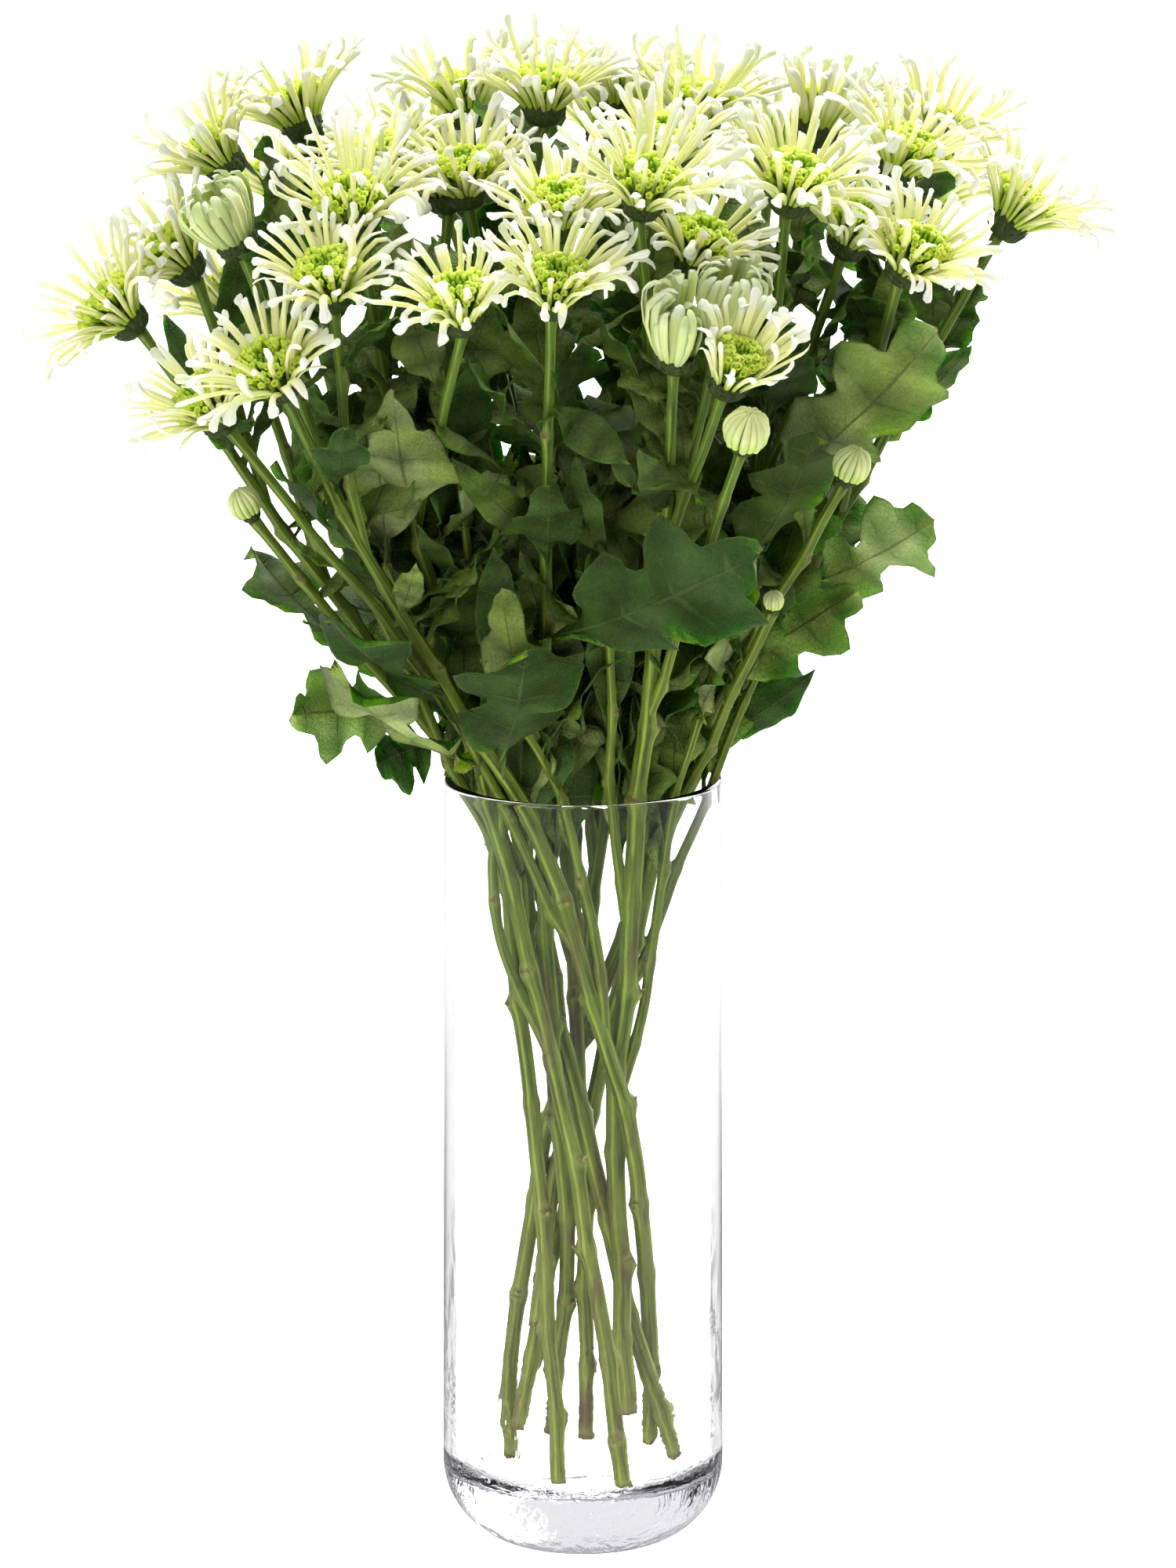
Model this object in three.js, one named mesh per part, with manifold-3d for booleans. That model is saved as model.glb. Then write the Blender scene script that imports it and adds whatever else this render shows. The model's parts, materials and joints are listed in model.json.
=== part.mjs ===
// Santini chrysanthemums in a clear glass cylinder vase: ten cut sprays of spider blooms.
// Millimetres, +Z up. The origin is the centre of the vase's foot, and the photograph looks along +Y.
import * as THREE from "three";
import { mergeVertices } from "three/addons/utils/BufferGeometryUtils.js";
import Module from "manifold-3d";

const wasm = await Module();
wasm.setup();

const { degToRad, lerp, clamp, smoothstep } = THREE.MathUtils;
const UP = new THREE.Vector3(0, 0, 1);
const AWAY = new THREE.Vector3(0, 1, 0);
const GOLDEN_TURN = Math.PI * (3 - Math.sqrt(5));

// Vase
const VASE_RADIUS = 45;
const VASE_RIM_RADIUS = 44.2;
const VASE_HEIGHT = 252;
const VASE_FOOT_RADIUS = 17.5;
const VASE_WALL = 2.8;
const VASE_FLOOR = 22;
const VASE_INNER_CORNER = 9;
const VASE_SIDES = 28;

// Room kept between two pieces, and a little more between stems and between a stem and the glass
const CLEARANCE = 0.35;
const STEM_GAP = 0.6;
const GLASS_GAP = 0.6;

// How closely the pieces in place are sampled when room is sought for a leaf or a ray
const STEM_SAMPLE = 1.6;
const HEAD_SAMPLES = 8;
const WALL_SAMPLE = 2.4;
const WALL_IN_REACH = 60;

// Stems and their side branches, the peduncles
const STEM_SIDES = 5;
const STEM_STEP = 34;
const STEM_STRAIGHT_TOP = 16;
const PEDUNCLE_RADIUS = 1.8;
const PEDUNCLE_STEPS = 4;
const BRANCH_STEEPNESS = 1.25;
const BRANCH_LEAST_RISE = 55;
const BRANCH_PULL_LOW = 0.35;
const BRANCH_PULL_HIGH = 0.3;
const BEND_ROUNDS = 200;
const BEND_SETTLING = 0.6;
const BEND_STIFFNESS = 0.04;

// The bouquet is a dome: its heads face away from a middle this far below them.
const DOME_DEPTH = 260;

// Calyx, bloom and bud
const CALYX_HEIGHT = 8;
const CALYX_RADIUS = 8.3;
const SECTORS = 7;
const CROWN_RADIUS = 8;
const CROWN_HEIGHT = 5.5;
const DISC_RADIUS = 6.6;
const DISC_HEIGHT = 10;
const RAY_LENGTH = 25;
const RAY_SHAFT = 1.15;
const RAY_SPOON = 2.1;
const RAY_ROOT = 3;
const RAY_TIP = 0.4;
const RAY_BUNDLE = 10;
const RAY_STEPS = 18;
const RAY_RINGS = [9, 16];
const RAY_SAMPLES = 8;
const INNER_RAY_SHARE = 0.94;
// Only the blooms in front of this depth have a knee in their outer rays.
const KNEED_BEFORE = -40;
// Rings of the disc's knobbly top, as [radius, height], and the height of the dimple in its middle
const DISC_KNOB = [4.6, DISC_HEIGHT];
const DISC_NOTCH = [5.9, DISC_HEIGHT - 1.6];
const DISC_DIMPLE = DISC_HEIGHT - 1.4;
const HEAD_HEIGHT = CALYX_HEIGHT + CLEARANCE + DISC_HEIGHT;
const BUD_RADIUS = 6.9;
// Rings of a calyx cup and of a closed bud, as shares of [height, radius]
const CALYX_RINGS = [[0.4, 0.78], [1, 1]];
const BUD_RINGS = [[0.19, 0.75], [0.47, 1], [0.72, 0.75], [0.85, 0.3]];

// How a kind of bloom opens: the climb of its rays at the root and at the tip, for the outer and inner row
const OPENINGS = {
  bloom: { outer: [44, 2], inner: [66, 30] },
  cup: { outer: [62, 34], inner: [78, 62] },
  ball: { outer: [58, 118], inner: [74, 132] },
};

// Leaves
const LEAF_THICKNESS = 0.8;
const LEAF_ARCH = 0.28;
const LEAF_FOLD = 0.18;
const LEAF_SAMPLE = 2.3;
const LEAF_REACH = 1.3;
const LEAF_ROOT_REACH = 9;
const HUB_SHARE = 0.56;
// Half outlines of a leaf: shares of its length and of its greatest half width, from stalk to tip
const OUTLINES = {
  lobed: [[0, 0.06], [0.42, 0.74], [0.53, 0.4], [0.76, 1], [0.82, 0.5], [1, 0]],
  forked: [[0, 0.08], [0.62, 1], [0.7, 0.5], [1, 0]],
  lance: [[0, 0.2], [0.5, 1], [1, 0]],
};
const LEAF_SLIMNESS = { lobed: 0.62, forked: 0.5, lance: 0.28 };

// Foliage between the vase's rim and the heads: spacing up the stem, and length below and above
const FOLIAGE_START = [6, 16];
const FOLIAGE_STEP = [20, 26];
const FOLIAGE_LENGTH = [70, 34];
const FOLIAGE_UNDER_HEAD = 30;
const FOLIAGE_LOBED_SHARE = 0.45;
const BRACT_LENGTH = [18, 26];

// The photograph's eye is far off and looks slightly down. A place is written as seen: millimetres
// right of the vase's axis, millimetres above its foot, and the true depth away from the eye.
const VIEW_TILT = degToRad(13);
const VIEW_DISTANCE = 5000;
const VIEW_AIM = 249;
const VIEW_AIM_SEEN = 240;

// Each spray: the middle line of its main stem from the cut end up to its top branches, as seen, and
// its heads, of which the first ends the main stem. lean adds to the outward lean that every head has.
const SPRAYS = [
  {
    name: "spray_far_left",
    radius: 2.6,
    stands: true,
    route: [
      [-7.6, 16, -24], [-8, 45, -22], [-9.5, 90, -17], [-13.4, 130, -8], [-17, 169, -1], [-21, 195, 4],
      [-29, 214, 6], [-37, 237, 4], [-53, 258, 0], [-73, 288, -8], [-93, 319, -12], [-111, 344, -16],
    ],
    heads: [
      { kind: "bloom", at: [-155, 396, -20], lean: [-0.55, -0.1], size: 1.05 },
      { kind: "bloom", at: [-136, 414, 0], lean: [-0.45, -0.1], size: 1 },
      { kind: "bloom", at: [-118, 402, 38], lean: [-0.2, 0.1], size: 0.9 },
      { kind: "bud", at: [-111, 335, -32], lean: [-0.1, -0.1], size: 0.72 },
    ],
  },
  {
    name: "spray_front_left",
    radius: 2.9,
    stands: false,
    route: [
      [21.6, 31, 20], [19.6, 50, 18], [20.6, 73, 13], [16.4, 106, 2], [10.4, 140, -8], [4, 172, -15],
      [-6.4, 213, -24], [-13, 237, -31], [-26, 248, -42], [-43, 265, -52], [-58, 285, -62], [-72, 306, -70],
      [-82, 328, -77], [-92, 346, -81],
    ],
    heads: [
      { kind: "bloom", at: [-101.6, 377, -86], lean: [-0.05, -0.25], size: 1.08 },
      { kind: "bloom", at: [-124, 366, -52], lean: [-0.3, -0.2], size: 0.95 },
      { kind: "ball", at: [-117, 424, -42], lean: [-0.1, 0], size: 0.8 },
      { kind: "bloom", at: [-83, 407, -82], lean: [0.1, -0.1], size: 0.9 },
    ],
  },
  {
    name: "spray_left_top",
    radius: 3,
    stands: false,
    route: [
      [31, 27, 16], [28.6, 40, 14], [24.9, 55, 12], [18.6, 70, 9], [12, 97, 5], [4, 122, 1],
      [-4, 145, 0], [-13, 176, 4], [-21, 205, 9], [-31, 237, 14], [-52, 272, 19], [-74, 315, 21],
      [-90, 360, 18],
    ],
    heads: [
      { kind: "bloom", at: [-123, 447, 8], lean: [-0.45, -0.1], size: 1 },
      { kind: "bloom", at: [-95, 462, 42], lean: [-0.1, 0], size: 0.95 },
      { kind: "bloom", at: [-66, 446, 4], lean: [0, -0.1], size: 0.95 },
      { kind: "bloom", at: [-98, 440, 88], lean: [0, 0.1], size: 0.95 },
    ],
  },
  {
    name: "spray_centre_left",
    radius: 2.8,
    stands: true,
    route: [
      [13, 14, -30], [12, 44, -27], [10.4, 65, -24], [8, 92, -19], [-1, 118, -14], [-7, 140, -9],
      [-12, 165, -8], [-19, 190, -10], [-26, 237, -16], [-36, 260, -25], [-46, 290, -37], [-55, 320, -48],
      [-63, 350, -55],
    ],
    heads: [
      { kind: "bloom", at: [-74.6, 431, -58], lean: [0.1, -0.15], size: 1.1 },
      { kind: "bloom", at: [-40, 400, -97], lean: [0.05, 0], size: 0.95 },
      { kind: "bloom", at: [-46, 440, 20], lean: [0, -0.1], size: 0.9 },
    ],
  },
  {
    name: "spray_back_left",
    radius: 2.6,
    stands: false,
    route: [
      [1, 32, 12], [1.6, 77, 10], [2.4, 102, 7], [2.9, 127, 4], [1.6, 145, 5], [0, 178, 10],
      [-2, 215, 18], [-5, 237, 24], [-11, 278, 36], [-19, 340, 46], [-29, 400, 52],
    ],
    heads: [
      { kind: "bloom", at: [-39, 467, 52], lean: [0, 0], size: 1 },
      { kind: "bloom", at: [-39, 441, -22], lean: [0, -0.15], size: 0.95 },
      { kind: "bloom", at: [-50, 453, 108], lean: [0, 0.1], size: 0.95 },
      { kind: "bloom", at: [-13, 468, 8], lean: [0, -0.1], size: 0.95 },
    ],
  },
  {
    name: "spray_centre_front",
    radius: 2.7,
    stands: false,
    route: [
      [-10, 34, 22], [-5.6, 73, 17], [-2, 93, 14], [-4.6, 112, 11], [-8, 135, 8], [-10, 155, 4],
      [-12, 190, -5], [-14, 237, -17], [-13.5, 265, -30], [-12, 290, -45], [-12, 315, -61], [-10.5, 345, -75],
      [-10.5, 362, -86],
    ],
    heads: [
      { kind: "bloom", at: [-8, 405, -101], lean: [0.15, -0.05], size: 1.02 },
      { kind: "bloom", at: [-8, 430, -56], lean: [0, -0.15], size: 0.9 },
    ],
  },
  {
    name: "spray_front",
    radius: 3.3,
    stands: false,
    route: [
      [14.4, 40, 5], [15.4, 58, 4], [13.9, 71, 3], [12.6, 85, 1], [12, 115, -2], [12.4, 140, -5],
      [13, 164, -9], [15, 197, -16], [18, 220, -22], [18, 237, -27], [20, 255, -37], [22, 270, -50],
      [27, 298, -68], [29.4, 314, -78], [31, 346, -94],
    ],
    heads: [
      { kind: "ball", at: [31, 387, -108], lean: [0, -0.1], size: 1 },
      { kind: "bloom", at: [22, 437, -84], lean: [0.15, 0], size: 1.12 },
      { kind: "cup", at: [51, 378, -110], lean: [0.2, -0.15], size: 0.85 },
      { kind: "bud", at: [54, 360, -122], lean: [0, -0.1], size: 1 },
      { kind: "ball", at: [48, 396, -84], lean: [0.1, 0], size: 0.9 },
    ],
  },
  {
    name: "spray_back_centre",
    radius: 2.7,
    stands: false,
    route: [
      [-15, 67, 0], [-13.4, 90, 2], [-10.9, 112, 6], [-6, 132, 11], [-2, 148, 14], [3, 180, 17],
      [7, 215, 21], [10, 240, 25], [13, 300, 33], [14, 360, 40], [12, 410, 46],
    ],
    heads: [
      { kind: "bloom", at: [12, 469, 52], lean: [0, 0], size: 1 },
      { kind: "bloom", at: [27, 451, -28], lean: [0, -0.15], size: 0.9 },
      { kind: "bloom", at: [38, 464, 24], lean: [0, -0.1], size: 1 },
      { kind: "bloom", at: [8, 459, 112], lean: [0, 0.1], size: 0.95 },
      { kind: "bloom", at: [40, 418, -56], lean: [0.25, -0.1], size: 0.95 },
    ],
  },
  {
    name: "spray_right",
    radius: 2.8,
    stands: false,
    route: [
      [-21, 35, 12], [-19, 50, 14], [-16, 68, 15], [-10.5, 85, 15], [-4, 110, 14], [3, 145, 12],
      [8, 168, 10], [13, 190, 8], [19, 212, 4], [25, 237, 0], [34, 255, -10], [46, 278, -22],
      [57, 310, -32], [63, 350, -42],
    ],
    heads: [
      { kind: "bloom", at: [69.4, 438, -58], lean: [0, -0.1], size: 1.08 },
      { kind: "bloom", at: [90, 424, -30], lean: [0.1, -0.1], size: 0.9 },
      { kind: "cup", at: [78.4, 461, 20], lean: [0, 0], size: 0.85 },
      { kind: "bud", at: [88.6, 348, -72], lean: [0.05, -0.1], size: 0.82 },
      { kind: "bud", at: [61, 302, -60], lean: [-0.2, -0.2], size: 0.45 },
      { kind: "bloom", at: [64, 452, 104], lean: [0, 0.1], size: 0.95 },
    ],
  },
  {
    name: "spray_far_right",
    radius: 2.8,
    stands: true,
    route: [
      [-26.6, 26, 18.7], [-31, 45, 18], [-28, 65, 17], [-24, 88, 16], [-18.6, 107, 14], [-14.9, 130, 12],
      [-9, 148, 12], [-2, 163, 15], [8, 182, 18], [18, 197, 18], [26, 220, 16], [32, 237, 13],
      [39, 250, 12], [54, 275, 8], [72, 305, 5], [89, 340, 0], [109, 372, -5],
    ],
    heads: [
      { kind: "bloom", at: [144, 429, 0], lean: [0.25, 0], size: 1.08 },
      { kind: "bloom", at: [107, 447, -12], lean: [0.1, -0.1], size: 1.05 },
      { kind: "bloom", at: [109.4, 414, -66], lean: [0.15, -0.2], size: 0.95 },
      { kind: "bloom", at: [117, 455, 46], lean: [0, 0], size: 1 },
      { kind: "bloom", at: [113, 437, 84], lean: [0, 0.1], size: 0.95 },
    ],
  },
];

// The leaves that stand out in the photograph: the spray each grows on, how high it is joined, as
// seen, where its tip points, its greatest width, and whether its edge is lobed.
const NOTED_LEAVES = [
  { spray: "spray_centre_front", up: 272, tip: [56, 313, -112], width: 48, edge: "lobed" },
  { spray: "spray_centre_left", up: 318, tip: [-62, 372, -92], width: 34, edge: "lobed" },
  { spray: "spray_centre_front", up: 312, tip: [-42, 344, -84], width: 13, edge: "lance" },
  { spray: "spray_centre_front", up: 246, tip: [-26, 306, -58], width: 22, edge: "forked" },
  { spray: "spray_centre_front", up: 356, tip: [15, 342, -104], width: 14, edge: "lance" },
  { spray: "spray_front", up: 316, tip: [18, 350, -92], width: 11, edge: "lance" },
  { spray: "spray_front_left", up: 284, tip: [-53, 312, -66], width: 10, edge: "lance" },
  { spray: "spray_far_left", up: 260, tip: [-93, 262, -16], width: 34, edge: "lobed" },
  { spray: "spray_far_left", up: 243, tip: [-66, 246, -16], width: 26, edge: "lobed" },
  { spray: "spray_centre_left", up: 256, tip: [-60, 298, -22], width: 26, edge: "lobed" },
  { spray: "spray_right", up: 268, tip: [88, 300, -20], width: 30, edge: "lobed" },
  { spray: "spray_right", up: 318, tip: [113, 386, -52], width: 44, edge: "lobed" },
  { spray: "spray_right", up: 300, tip: [74, 352, -74], width: 34, edge: "lobed" },
  { spray: "spray_far_right", up: 300, tip: [112, 326, -6], width: 34, edge: "lobed" },
  { spray: "spray_far_right", up: 243, tip: [74, 278, 0], width: 15, edge: "lance" },
  { spray: "spray_far_right", up: 355, tip: [124, 380, -20], width: 10, edge: "lance" },
  { spray: "spray_far_left", up: 340, tip: [-133, 388, 8], width: 12, edge: "lance" },
];

const COLOURS = { glass: 0xe8eef0, green: 0x4f7a2c, cream: 0xf1f3d6 };

// A repeatable source of numbers from 0 to 1.
function seededRandom(seed) {
  let state = seed >>> 0;
  return () => {
    state = (state + 0x6d2b79f5) >>> 0;
    let mixed = Math.imul(state ^ (state >>> 15), state | 1);
    mixed ^= mixed + Math.imul(mixed ^ (mixed >>> 7), mixed | 61);
    return ((mixed ^ (mixed >>> 14)) >>> 0) / 4294967296;
  };
}

// The true place of a point that is written as seen.
function seen([across, up, depth]) {
  const rise = up - VIEW_AIM_SEEN;
  const reach = VIEW_DISTANCE + depth * Math.cos(VIEW_TILT);
  const height =
    (rise * reach - VIEW_DISTANCE * depth * Math.sin(VIEW_TILT)) /
    (VIEW_DISTANCE * Math.cos(VIEW_TILT) + rise * Math.sin(VIEW_TILT));
  const scale = (reach - height * Math.sin(VIEW_TILT)) / VIEW_DISTANCE;
  return new THREE.Vector3(across * scale, depth, VIEW_AIM + height);
}

// Balls that stand for everything already placed, kept in cubic cells so that neighbours are found fast.
class Room {
  constructor(cell = 13) {
    this.cell = cell;
    this.cells = new Map();
  }

  key(x, y, z) {
    return `${x},${y},${z}`;
  }

  add(point, radius, owner) {
    const [x, y, z] = point.toArray().map((value) => Math.floor(value / this.cell));
    const key = this.key(x, y, z);
    if (!this.cells.has(key)) this.cells.set(key, []);
    this.cells.get(key).push({ point, radius, owner });
  }

  // True if a ball keeps its clearance from every placed one that passes the filter.
  isFree(point, radius, counts = () => true) {
    const [x, y, z] = point.toArray().map((value) => Math.floor(value / this.cell));
    for (let dx = -1; dx <= 1; dx++) {
      for (let dy = -1; dy <= 1; dy++) {
        for (let dz = -1; dz <= 1; dz++) {
          for (const ball of this.cells.get(this.key(x + dx, y + dy, z + dz)) ?? []) {
            const least = ball.radius + radius + CLEARANCE;
            if (ball.point.distanceToSquared(point) < least * least && counts(ball)) return false;
          }
        }
      }
    }
    return true;
  }
}

// Where the middle lines of two straight pieces come closest: the shares along each, and the way between.
function closest(a0, a1, b0, b1) {
  const a = a1.clone().sub(a0);
  const b = b1.clone().sub(b0);
  const between = a0.clone().sub(b0);
  const aa = a.dot(a);
  const bb = b.dot(b);
  const ab = a.dot(b);
  const apart = aa * bb - ab * ab;
  let s = apart > 1e-6 ? clamp((ab * b.dot(between) - bb * a.dot(between)) / apart, 0, 1) : 0.5;
  const t = clamp((ab * s + b.dot(between)) / bb, 0, 1);
  s = clamp((ab * t - a.dot(between)) / aa, 0, 1);
  const way = a0.clone().addScaledVector(a, s).sub(b0.clone().addScaledVector(b, t));
  return { s, t, way };
}

// A head's facing: outward from the bouquet's middle, with its own lean added.
function facing(place, lean) {
  return new THREE.Vector3(place.x / DOME_DEPTH + lean[0], place.y / DOME_DEPTH + lean[1], 1).normalize();
}

function makeHead(entry, name) {
  const top = seen(entry.at);
  const face = facing(top, entry.lean);
  const girth = entry.kind === "bud" ? entry.size : 1;
  const base = top.clone().addScaledVector(face, -HEAD_HEIGHT * girth);
  return { ...entry, name, face, top, base, girth };
}

// The main stem's middle line, from the cut end to the calyx of its top head.
function mainLine(spray, head) {
  const approach = head.base.clone().addScaledVector(head.face, -STEM_STRAIGHT_TOP);
  const route = [...spray.route.map(seen), approach, head.base];
  const curve = new THREE.CatmullRomCurve3(route, false, "centripetal");
  return curve.getSpacedPoints(Math.round(curve.getLength() / STEM_STEP));
}

// The highest point of the main stem from which a side branch climbs steeply enough to its head.
function branchPoint(line, head) {
  for (let k = line.length - 3; k > 0; k--) {
    const rise = head.base.z - line[k].z;
    const reach = Math.hypot(head.base.x - line[k].x, head.base.y - line[k].y);
    if (rise > Math.max(BRANCH_LEAST_RISE, BRANCH_STEEPNESS * reach)) return k;
  }
  return 1;
}

function branchLine(line, k, head) {
  const start = line[k];
  const along = line[k + 1].clone().sub(line[k - 1]).normalize();
  const away = head.base.clone().sub(start);
  const reach = away.length();
  const out = along.add(away.normalize()).normalize();
  const curve = new THREE.CubicBezierCurve3(
    start,
    start.clone().addScaledVector(out, reach * BRANCH_PULL_LOW),
    head.base.clone().addScaledVector(head.face, -reach * BRANCH_PULL_HIGH),
    head.base,
  );
  return curve.getPoints(PEDUNCLE_STEPS);
}

// Thick below, narrowing above the vase to the thickness of a flower's own stalk.
function mainRadii(line, radius) {
  return line.map((_, k) => lerp(radius, PEDUNCLE_RADIUS, smoothstep(k / (line.length - 1), 0.45, 1)));
}

function makeShoots(spray, names) {
  const heads = spray.heads.map((entry) => makeHead(entry, names.next().value));
  const line = mainLine(spray, heads[0]);
  const main = { spray: spray.name, head: heads[0], points: line, radii: mainRadii(line, spray.radius) };
  const side = heads.slice(1).map((head) => {
    const joint = branchPoint(line, head);
    const points = branchLine(line, joint, head);
    const radii = points.map(() => PEDUNCLE_RADIUS);
    return { spray: spray.name, head, points, radii, parent: main, joint };
  });
  return [main, ...side];
}

// Notes a push on both ends of one straight stretch of a shoot, by how near the place is to each.
function note(shoot, k, way, share) {
  shoot.pushes[k].addScaledVector(way, 1 - share);
  shoot.pushes[k + 1].addScaledVector(way, share);
}

// Stretches that meet at a fork stay together there.
function meetAtFork(one, i, other, j) {
  const sisters = one.parent && one.parent === other.parent;
  const related = other.parent === one || one.parent === other || sisters;
  return related && ((other.parent && j < 2) || (one.parent && i < 2));
}

function pushApart(one, other) {
  for (let i = 0; i < one.points.length - 1; i++) {
    for (let j = 0; j < other.points.length - 1; j++) {
      if (meetAtFork(one, i, other, j)) continue;
      const { s, t, way } = closest(one.points[i], one.points[i + 1], other.points[j], other.points[j + 1]);
      const short = one.radii[i] + other.radii[j] + STEM_GAP - way.length();
      if (short <= 0) continue;
      way.setLength(short * 0.5);
      note(one, i, way, s);
      note(other, j, way.negate(), t);
    }
  }
}

// Keeps a shoot out of the other heads' calyxes and discs.
function pushFromHeads(shoot, heads) {
  for (const head of heads) {
    if (head === shoot.head) continue;
    for (let i = 0; i < shoot.points.length - 1; i++) {
      const { s, way } = closest(shoot.points[i], shoot.points[i + 1], head.base, head.top);
      const short = CALYX_RADIUS * head.girth + shoot.radii[i] + 1 - way.length();
      if (short > 0) note(shoot, i, way.setLength(short), s);
    }
  }
}

// Moves every point but the two ends by its pushes, and straightens the line a little.
function settle(shoot, straighten) {
  const before = shoot.points.map((point) => point.clone());
  for (let k = 1; k < before.length - 1; k++) {
    const middle = before[k - 1].clone().add(before[k + 1]).multiplyScalar(0.5);
    shoot.points[k].lerp(middle, straighten).add(shoot.pushes[k]);
  }
}

// How far from the axis a stem's middle line may lie at a height inside the vase.
function vaseReach(height, radius) {
  const rise = clamp((VASE_FLOOR + VASE_INNER_CORNER - height) / VASE_INNER_CORNER, 0, 1);
  const inset = VASE_INNER_CORNER * (1 - Math.sqrt(1 - rise * rise));
  return VASE_RIM_RADIUS - VASE_WALL - inset - radius - CLEARANCE - GLASS_GAP;
}

// Keeps a shoot inside the vase's wall, and inside the rim where it passes over it.
function keepInVase({ points, radii }) {
  points.forEach((point, k) => {
    if (point.z > VASE_HEIGHT) return;
    const reach = Math.hypot(point.x, point.y);
    const most = vaseReach(point.z, radii[k]);
    if (reach > most) point.multiply(new THREE.Vector3(most / reach, most / reach, 1));
  });
  const k = points.findIndex((point) => point.z > VASE_HEIGHT);
  if (k < 1) return;
  const share = (VASE_HEIGHT - points[k - 1].z) / (points[k].z - points[k - 1].z);
  const over = points[k - 1].clone().lerp(points[k], share).setZ(0);
  const excess = over.length() - vaseReach(VASE_HEIGHT, radii[k]);
  if (excess <= 0) return;
  over.setLength(excess);
  points[k - 1].sub(over);
  points[k].sub(over);
}

// Stems and stalks that would cross are bent clear of each other, all of them a little in each round.
function bendClear(shoots) {
  const heads = shoots.map((shoot) => shoot.head);
  for (let round = 0; round < BEND_ROUNDS; round++) {
    shoots.forEach((shoot) => (shoot.pushes = shoot.points.map(() => new THREE.Vector3())));
    shoots.forEach((one, k) => shoots.slice(k + 1).forEach((other) => pushApart(one, other)));
    shoots.forEach((shoot) => pushFromHeads(shoot, heads));
    const stiffness = round < BEND_ROUNDS * BEND_SETTLING ? BEND_STIFFNESS : 0;
    shoots.forEach((shoot) => settle(shoot, stiffness));
    shoots.forEach(keepInVase);
    shoots.forEach(({ points, parent, joint }) => parent && points[0].copy(parent.points[joint]));
  }
}

// A stem that stands on the vase's floor has the lowest edge of its cut end just above the glass.
function standOnFloor(shoot) {
  const way = shoot.points[1].clone().sub(shoot.points[0]).normalize();
  const tilt = Math.hypot(way.x, way.y) * shoot.radii[0];
  shoot.points[0].setZ(VASE_FLOOR + CLEARANCE + tilt);
}

// A geometry with shared vertices and no faces of no area.
function weld(geometry) {
  const bare = geometry.clone();
  bare.deleteAttribute("normal");
  bare.deleteAttribute("uv");
  const merged = mergeVertices(bare, 1e-4);
  const corners = merged.index.array;
  const kept = [];
  for (let k = 0; k < corners.length; k += 3) {
    const [a, b, c] = corners.slice(k, k + 3);
    if (a !== b && b !== c && c !== a) kept.push(a, b, c);
  }
  merged.setIndex(kept);
  return merged;
}

function toSolid(geometry) {
  const welded = weld(geometry);
  return new wasm.Manifold(
    new wasm.Mesh({
      numProp: 3,
      vertProperties: new Float32Array(welded.attributes.position.array),
      triVerts: new Uint32Array(welded.index.array),
    }),
  );
}

function toGeometry(solid) {
  const mesh = solid.getMesh();
  const geometry = new THREE.BufferGeometry();
  geometry.setAttribute("position", new THREE.BufferAttribute(new Float32Array(mesh.vertProperties), 3));
  geometry.setIndex(Array.from(mesh.triVerts));
  return geometry;
}

// The direction of a line of points at one of them.
function direction(points, k) {
  const before = points[Math.max(k - 1, 0)];
  const after = points[Math.min(k + 1, points.length - 1)];
  return after.clone().sub(before).normalize();
}

// A turned profile of rings, bent so that each ring stands across the line at its own point.
function bentLathe(points, radii, sides) {
  const profile = points.map((_, k) => new THREE.Vector2(radii[k], k));
  profile.unshift(new THREE.Vector2(0, 0));
  profile.push(new THREE.Vector2(0, points.length - 1));
  const geometry = new THREE.LatheGeometry(profile, sides);
  const place = geometry.attributes.position;
  for (let v = 0; v < place.count; v++) {
    const k = Math.round(place.getY(v));
    const along = direction(points, k);
    const across = new THREE.Vector3().crossVectors(along, AWAY).normalize();
    const behind = new THREE.Vector3().crossVectors(across, along);
    const at = points[k].clone();
    at.addScaledVector(across, place.getX(v)).addScaledVector(behind, place.getZ(v));
    place.setXYZ(v, at.x, at.y, at.z);
  }
  return geometry;
}

// A shoot's tube with the calyx cup or the closed bud that ends it.
function shootSolid(shoot) {
  const { head } = shoot;
  const isBud = head.kind === "bud";
  const points = shoot.points.slice();
  const radii = shoot.radii.slice();
  const height = isBud ? HEAD_HEIGHT * head.size : CALYX_HEIGHT;
  const girth = isBud ? BUD_RADIUS * head.size : CALYX_RADIUS;
  for (const [rise, width] of isBud ? BUD_RINGS : CALYX_RINGS) {
    points.push(head.base.clone().addScaledVector(head.face, rise * height));
    radii.push(width * girth);
  }
  return toSolid(bentLathe(points, radii, STEM_SIDES));
}

function halfWidth(outline, share) {
  const k = outline.findIndex(([u]) => u >= share);
  if (k <= 0) return outline[0][1];
  const [u0, w0] = outline[k - 1];
  const [u1, w1] = outline[k];
  return lerp(w0, w1, (share - u0) / (u1 - u0));
}

// A leaf's blade as a rule from (share of length, millimetres sideways) to a place: arched along its
// length and folded up a little on both sides of the midrib.
function makeLeaf({ root, tip, outward, width, edge }) {
  const way = tip.clone().sub(root);
  const length = way.length();
  const along = way.normalize();
  const side = new THREE.Vector3().crossVectors(along, outward).normalize();
  const normal = new THREE.Vector3().crossVectors(side, along);
  const place = (share, across) =>
    root
      .clone()
      .addScaledVector(along, share * length)
      .addScaledVector(side, across)
      .addScaledVector(normal, length * LEAF_ARCH * share * (1 - share) - Math.abs(across) * LEAF_FOLD);
  return { place, normal, outline: OUTLINES[edge], length, half: width / 2, root };
}

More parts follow.
